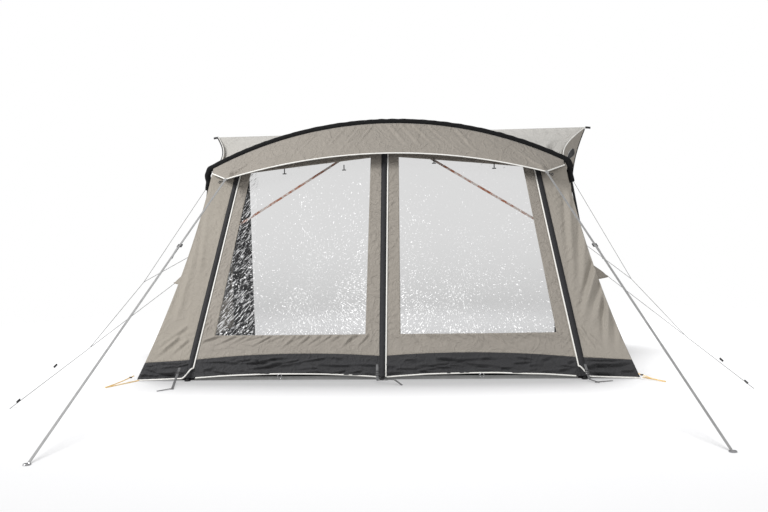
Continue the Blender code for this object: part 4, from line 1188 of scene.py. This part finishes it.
lines = []
for side in SIDES.values():
    for margin in (0.004, 0.013):
        lines.append(on_side(window_frame(margin, 0.0009), side))
    for surface, outward in ((bay, FRONT), (wing, WING_OUT), (flank, FLANK_OUT)):
        us = np.linspace(0.01, 0.99, 120)
        for level in (SKIRT_SHARE + 0.003, SKIRT_SHARE + 0.0065):
            lines.append(on_side(lifted(surface, us, np.full_like(us, level), 0.0009, outward), side))
stitched("wall_stitching", lines, "taupe_cloth", pale_thread)
lines = []
down = np.linspace(0.01, STRIP_TOP, 120)
for share_in in (0.07, 0.93):
    for side in SIDES.values():
        row = lifted(wing, side_strip(share_in, down), down, STRIP_SEAT + THREAD_LIFT, WING_OUT)
        lines.append(on_side(row, side))
    lines.append(lifted(bay, centre_strip(share_in, down), down, STRIP_SEAT + THREAD_LIFT, FRONT))
stitched("sleeve_stitching", lines, "charcoal_cloth", dark_thread)


# The vent hoods: a small cloth fin sewn to each side wall near the wing, in the wall's own cloth. A corded
# lip stiffens it, and its own line holds it out.
HOOD_FRONT, HOOD_BACK, HOOD_LOW, HOOD_RISE = 0.09, 0.29, 0.405, 0.060
HOOD_OUT, HOOD_SEAT = 0.135, 0.0026


def hood(share, rise):
    """share runs along the hood, rise from its lip up to the wall."""
    u = HOOD_FRONT + (HOOD_BACK - HOOD_FRONT) * share
    open_here = np.minimum(1.0, 5 * np.minimum(share, 1 - share))
    open_here = smooth(open_here)
    lip = lifted(flank, u, HOOD_LOW + 0.012 * (1 - open_here), HOOD_SEAT + HOOD_OUT * open_here, FLANK_OUT)
    sewn = lifted(flank, u, HOOD_LOW + 0.018 + HOOD_RISE * open_here, HOOD_SEAT, FLANK_OUT)
    crown = 0.012 * np.sin(math.pi * rise) * open_here
    return lerp(lip, sewn, rise) + triple(crown, 0, crown)


share, rise = np.meshgrid(np.linspace(0, 1, 60), np.linspace(0, 1, 16))
for word, side in SIDES.items():
    base = hood(share, rise)
    move = slack(share * 0.5, rise * 0.16, 0.0012, 121) * smooth(rise / 0.2) * smooth((1 - rise) / 0.2)
    panel(
        f"vent_hood_{word}.cloth", base, move, (1, 0, 1), side, painted_light_wing_cloth[word],
        [f"vent_hood_{word}"],
    )
    lip = hood(np.linspace(0, 1, 60), np.zeros(60)) + np.array([0.002, 0, 0])
    corded(f"vent_hood_{word}.lip", [on_side(lip, side)], "taupe_cloth", painted_light_wing_cloth[word], 0.0042)


# Along the ground: a flap of the black sleeve cloth hangs behind the skirts and seals the gap under them. The
# grey webbing that spaces the feet keeps its own shape, as the poles, straps, rings and lines do.
DRAUGHT_TOP, CORNER_INSET = 0.125, 0.066
FOOT_RADIUS, WEBBING_THICK = 0.026, 0.003
draught_foot = FOOT_RADIUS + WEBBING_THICK + 0.0012
reach_x = CORNER_FOOT[0] - CORNER_INSET
xs = spaced([-reach_x, reach_x], CELL * 0.7)
x, height = np.meshgrid(xs, np.linspace(0, DRAUGHT_TOP, 12))
pole_x = POLE_SEAM_FOOT - CORNER_INSET
past_pole = np.clip((np.abs(x) - pole_x) / (reach_x - pole_x), 0, 1)
lean = 0.75 / 2.16 * DRAUGHT_TOP + 0.004
base = triple(x, draught_foot + (lean - draught_foot) * height / DRAUGHT_TOP + 0.022 * past_pole, height)
ripple = slack(x, height * 2, 0.0022, 131, (1.4, 0.2)) * smooth((DRAUGHT_TOP - height) / 0.05)
base[..., 1] += 0.002 + np.abs(ripple)
panel(
    "draught_skirt.cloth", base, np.zeros_like(x), (0, -1, 0), 1.0, black_cloth,
    ["draught_skirt"],
)

grey_webbing = trim("grey_webbing", (0.27, 0.27, 0.27), (0.38, 0.38, 0.375), 420.0, 0.75, 0.4, 0.8, bump=0.5)
black_plastic = trim("black_plastic", (0.012, 0.012, 0.013), (0.05, 0.05, 0.05), 260.0, 0.38, 0.35)
steel_pole = trim(
    "black_steel_pole", (0.010, 0.010, 0.011), (0.10, 0.10, 0.10), 200.0, 0.36, 0.35, metallic=0.3
)
ring_steel = trim("ring_steel", (0.38, 0.38, 0.39), (0.20, 0.19, 0.18), 220.0, 0.26, 0.4, metallic=0.95)
guy_braid = trim("guy_braid", (0.10, 0.10, 0.10), (0.24, 0.24, 0.24), 700.0, 0.75, 0.4, 0.9, bump=0.6)
yellow_elastic = trim("yellow_elastic", (0.78, 0.50, 0.16), (0.80, 0.70, 0.48), 60.0, 0.6, 0.8, 0.4)
orange_band = trim("orange_band", (0.42, 0.13, 0.05), (0.66, 0.60, 0.56), 60.0, 0.7, 2.0, 0.4)
rail_trim = trim("rail_trim", (0.66, 0.65, 0.61), (0.45, 0.44, 0.41), 300.0, 0.5, 0.5)
# A lighter copy of the grey webbing for the ground strap: painted light that lifts the shade it lies in
ground_webbing = trim("ground_webbing", (0.30, 0.30, 0.295), (0.40, 0.40, 0.39), 420.0, 0.75, 0.4, 0.8)


def repaint(paint, *names):
    """Gives solids that keep their own shape a finished material."""
    for name in names:
        for spot in solids[name].material_slots:
            spot.material = paint


solids = {piece.name: piece for piece in bpy.context.scene.objects}
repaint(rail_trim, "rail_bead")
repaint(grey_webbing, "storm_strap_left", "storm_strap_right")
repaint(ground_webbing, "ground_strap")
repaint(black_plastic, "pole_foot_left", "pole_foot_right", "pole_foot_centre")
repaint(steel_pole, "beam_leg_left", "beam_leg_right")
repaint(ring_steel, "storm_ring_left", "storm_ring_right")
repaint(black_binding, "rail_tab_left", "rail_tab_right")
repaint(orange_band, "tension_band_left", "tension_band_right")
for word in SIDES:
    repaint(guy_braid, f"side_line_{word}", f"patch_line_{word}", f"vent_line_{word}")


# Buckles and sliders: moulded ladder locks on the storm straps, each with the strap's loose end standing off
# it, and small plastic sliders on the guy lines.
LOCK_HALF_WIDTH, LOCK_BAR_STEP = 0.0165, 0.018


def unit(v):
    v = np.asarray(v, float)
    return v / np.linalg.norm(v)


def bars(name, boxes, paint, bevel=0.0012):
    """One piece made of rounded bars; each box is a centre, three half-axes as vectors."""
    shape = bmesh.new()
    for centre, *half_axes in boxes:
        turn = Matrix([list(axis) + [0.0] for axis in half_axes] + [[0, 0, 0, 1]]).transposed()
        turn.translation = Vector(centre)
        cube = bmesh.ops.create_cube(shape, size=2.0, matrix=turn)
        edges = list({edge for vert in cube["verts"] for edge in vert.link_edges})
        bmesh.ops.bevel(shape, geom=edges, offset=bevel, segments=2, affect="EDGES", profile=0.5)
    bmesh.ops.recalc_face_normals(shape, faces=shape.faces)
    mesh = bpy.data.meshes.new(name)
    shape.to_mesh(mesh)
    shape.free()
    mesh.shade_smooth()
    mesh.materials.append(paint)
    return placed(name, mesh)


def ladder_lock(centre, along, across):
    """Bars of a ladder lock whose webbing runs this way: two cheeks and three cross bars."""
    along, across = unit(along), unit(across)
    up = np.cross(along, across)
    up = up * (-1 if up[2] < 0 else 1)
    made = []
    for end in (-LOCK_HALF_WIDTH, LOCK_HALF_WIDTH):
        made.append((centre + across * end, along * 0.020, across * 0.0022, up * 0.0042))
    for step in (-LOCK_BAR_STEP, 0.0, LOCK_BAR_STEP):
        made.append((centre + along * step + up * 0.001, along * 0.0026, across * 0.0170, up * 0.0036))
    return made


def line_axes(start, end):
    """Unit vectors along a line, level across it, and upwards square to both."""
    ahead = unit(end - start)
    across = unit(np.cross(ahead, (0, 0, 1)))
    return ahead, across, np.cross(across, ahead)


def webbing(points, half_sizes, across=None):
    """Boxes of flat webbing from point to point; it lies level unless its crosswise direction is given."""
    boxes = []
    for a, b in zip(points, points[1:]):
        ahead, level, _ = line_axes(a, b)
        wide = level if across is None else across
        axes = (ahead, wide, np.cross(ahead, wide))
        boxes.append(((a + b) / 2, *(axis * half for axis, half in zip(axes, half_sizes))))
    return boxes


STORM_PEGS = {"left": (-1.746, -2.674, 0.0), "right": (2.155, -2.358, 0.0)}
BUCKLE_SHARE = {"left": 0.326, "right": 0.356}
TAIL_COUNT, TAIL_STEP, TAIL_HALF = 16, 0.012, (0.0066, 0.0080, 0.0011)
HOOK_BEND = 0.009
for word, side in SIDES.items():
    top, peg = np.array(PEAK_CORNER) * [side, 1, 1], np.array(STORM_PEGS[word])
    ahead, across, out = line_axes(top, peg)
    spot = top + (peg - top) * BUCKLE_SHARE[word]
    bars(f"storm_buckle_{word}", ladder_lock(spot, ahead, across), black_plastic)
    tail = [spot + ahead * 0.006 + out * 0.0052]
    for k in range(1, TAIL_COUNT):
        tail.append(tail[-1] + unit(ahead + out * (0.10 - 0.02 * k)) * TAIL_STEP)
    bars(f"storm_tail_{word}", webbing(tail, TAIL_HALF, across), grey_webbing, 0.0004)
    # The sewn box where the strap joins the peak's corner, and the hook under it
    patch = (top + ahead * 0.018 + out * 0.003, ahead * 0.022, across * 0.015, out * 0.0018)
    bars(f"corner_patch_{word}", [patch], grey_webbing, 0.0008)
    hook = []
    for t in np.linspace(0.05, 1, 8):
        hook.append(top + np.array([side * 0.047 * t, -0.030 * t, -0.004 - 0.034 * t**1.5]))
    bend = hook[-1]
    for a in np.linspace(0.4, 4.6, 12):
        curl = np.array([side * HOOK_BEND * math.sin(a), 0, HOOK_BEND - HOOK_BEND * math.cos(a)])
        hook.append(bend + curl)
    corded(f"corner_hook_{word}", [hook], "black_plastic", black_plastic, 0.0042)

SLIDERS = {
    "left": ((-2.594, -1.073, 0.044), (-2.465, -0.716, 0.246)),
    "right": ((2.793, -0.422, 0.044), (2.662, -0.233, 0.184)),
}
LINE_ENDS = {
    "left": ((-2.100, 0.296, 0.819), (-2.622, -1.151, 0.003)),
    "right": ((2.116, 0.550, 0.768), (2.834, -0.480, 0.003)),
}
for word in SIDES:
    joint, peg = (np.array(p) for p in LINE_ENDS[word])
    ahead, across, out = line_axes(joint, peg)
    boxes = []
    for spot in SLIDERS[word]:
        spot = np.array(spot)
        boxes.append((spot + out * 0.004, ahead * 0.019, across * 0.0050, out * 0.0028))
        boxes.append((spot - out * 0.004, ahead * 0.019, across * 0.0050, out * 0.0022))
    bars(f"guy_sliders_{word}", boxes, black_plastic)


# The corner elastics: a doubled yellow shock cord from each outer corner to its peg, spread at the corner and
# drawn together at the peg, with a dark cord lock on one strand.
ELASTIC_WIDE, ELASTIC_NARROW, ELASTIC_RISE = 0.026, 0.0052, 0.036
ELASTIC_LOW, ELASTIC_STEPS = (0.0060, 0.0055), 24
CORNER_PEGS = {"left": (-2.228, -0.316, 0.0), "right": (2.247, -0.164, 0.0)}
for word, side in SIDES.items():
    start, end = CORNER_FOOT * [side, 1, 1], np.array(CORNER_PEGS[word])
    start[2], end[2] = ELASTIC_LOW
    ahead = unit(end - start)
    across = np.cross(ahead, (0, 0, 1))
    reach = np.linalg.norm(end - start)
    narrowing = np.linspace(1, 0, ELASTIC_STEPS)
    spread = ELASTIC_NARROW + (ELASTIC_WIDE - ELASTIC_NARROW) * narrowing
    high = ELASTIC_RISE * narrowing**1.5
    runs = [start + ahead * reach * t for t in np.linspace(0, 1, ELASTIC_STEPS)]
    loop = [p + across * w + np.array([0, 0, h]) for p, w, h in zip(runs, spread, high)]
    for a in np.linspace(0, math.pi, 10)[1:-1]:
        loop.append(end + across * ELASTIC_NARROW * math.cos(a) + ahead * 0.0042 * math.sin(a))
    loop += [p - across * w for p, w in zip(runs[::-1], spread[::-1])]
    elastic = corded(f"corner_elastic_{word}.cord", [loop], "yellow_elastic", yellow_elastic, 0.0044)
    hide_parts(f"corner_elastic_{word}")
    lock = runs[3] + across * spread[3] + np.array([0, 0, high[3]])
    lock_box = (lock, ahead * 0.010, across * 0.011, np.array([0, 0, 0.0055]))
    bars(f"cord_lock_{word}", [lock_box], black_plastic, 0.003)


# At each pole's foot: a short strap of dark webbing, sewn to the pole sleeve and run through a ladder lock,
# with a steel ring for the peg and its loose end on the ground.
FOOT_STRAPS = {
    "left": (
        (-1.700, -0.032, 0.117), (-1.678, -0.200, 0.064), (-1.653, -0.385, 0.0075), (-1.748, -0.480, 0.0035),
    ),
    "centre": (
        (-0.039, -0.034, 0.134), (-0.030, -0.125, 0.016), (0.045, -0.170, 0.034), (0.120, -0.215, 0.036),
        (0.179, -0.265, 0.0035),
    ),
    "right": (
        (1.645, -0.032, 0.123), (1.668, -0.120, 0.016), (1.719, -0.180, 0.0075), (1.849, -0.110, 0.0035),
    ),
}
STRAP_STEP, STRAP_HALF, FOOT_RING = 0.012, (0.0064, 0.0100, 0.0012), 0.016
foot_webbing = trim("foot_webbing", (0.11, 0.11, 0.114), (0.20, 0.20, 0.20), 420.0, 0.7, 0.5, 0.9, bump=0.5)


def ring_line(centre, radius, up, count):
    """A closed circle of points round a centre, in the plane of the x axis and this direction."""
    angles = np.linspace(0, 2 * math.pi, count)
    return centre + radius * (np.outer(np.cos(angles), (1, 0, 0)) + np.outer(np.sin(angles), up))


for word, spots in FOOT_STRAPS.items():
    knots = [np.array(spot) for spot in spots]
    strap = webbing(even_path(knots, STRAP_STEP), STRAP_HALF)
    bars(f"foot_strap_{word}", strap, foot_webbing, 0.0004)
    spot = knots[1] * 0.55 + knots[0] * 0.45
    lock = ladder_lock(spot, knots[1] - knots[0], (1, 0, 0))
    bars(f"foot_buckle_{word}", lock, black_plastic)
    loop = ring_line(knots[2] + np.array([0, -FOOT_RING, -0.0020]), FOOT_RING, (0, 1, 0), 33)
    corded(f"foot_ring_{word}", [loop], "ring_steel", ring_steel, 0.0026)

# Small fittings: a steel ring at the middle of each front hem, and the black plastic toggles over the windows
# that hold the rolled curtains.
HEM_RINGS, HEM_RING_RADIUS = (-0.858, 0.817), 0.017
lines = []
for x in HEM_RINGS:
    lines.append(ring_line(np.array([x, -0.012, 0.036]), HEM_RING_RADIUS, (0, 0, 1), 29))
corded("hem_rings", lines, "ring_steel", ring_steel, 0.0034)
TOGGLES = ((-0.908, 1.764), (-0.361, 1.784), (0.436, 1.825), (0.972, 1.768))
lines = []
for x, z in TOGGLES:
    u = abs(x) / (POLE_SEAM_FOOT - (POLE_SEAM_FOOT - POLE_SEAM_TOP) * z / SEAM_TOP)
    spot = lifted(bay, u, share_at(np.array(u), z), 0.006, FRONT) * [1 if x > 0 else -1, 1, 1]
    lines.append([spot + np.array([dx, 0, -0.020]) for dx in (-0.017, 0.0, 0.017)])
    lines.append([spot + np.array([0, 0, dz]) for dz in (0.026, 0.003, -0.018)])
corded("curtain_toggles", lines, "black_plastic", black_plastic, 0.0045)


# The pole end: the black plastic cap of a roof pole, which stands out behind the beam's right-hand shoulder
# and bulges towards its tip.
CAP_PATH = ((1.606, 0.760, 1.820), (1.626, 0.780, 1.842), (1.652, 0.810, 1.874), (1.664, 0.830, 1.910))
CAP_STEP, CAP_SIDES, CAP_THIN, CAP_SWELL = 0.006, 16, 0.012, 0.014
cap_line = even_path(CAP_PATH, CAP_STEP)
cap_share = np.linspace(0, 1, len(cap_line))
cap_radii = CAP_THIN + CAP_SWELL * np.sin(math.pi * np.clip(cap_share, 0.0, 0.97) ** 1.6)
cap_radii = np.repeat(cap_radii[:, None], CAP_SIDES, axis=1)
swept_tube("pole_end_right", cap_line, cap_radii, black_plastic, CAP_SIDES)
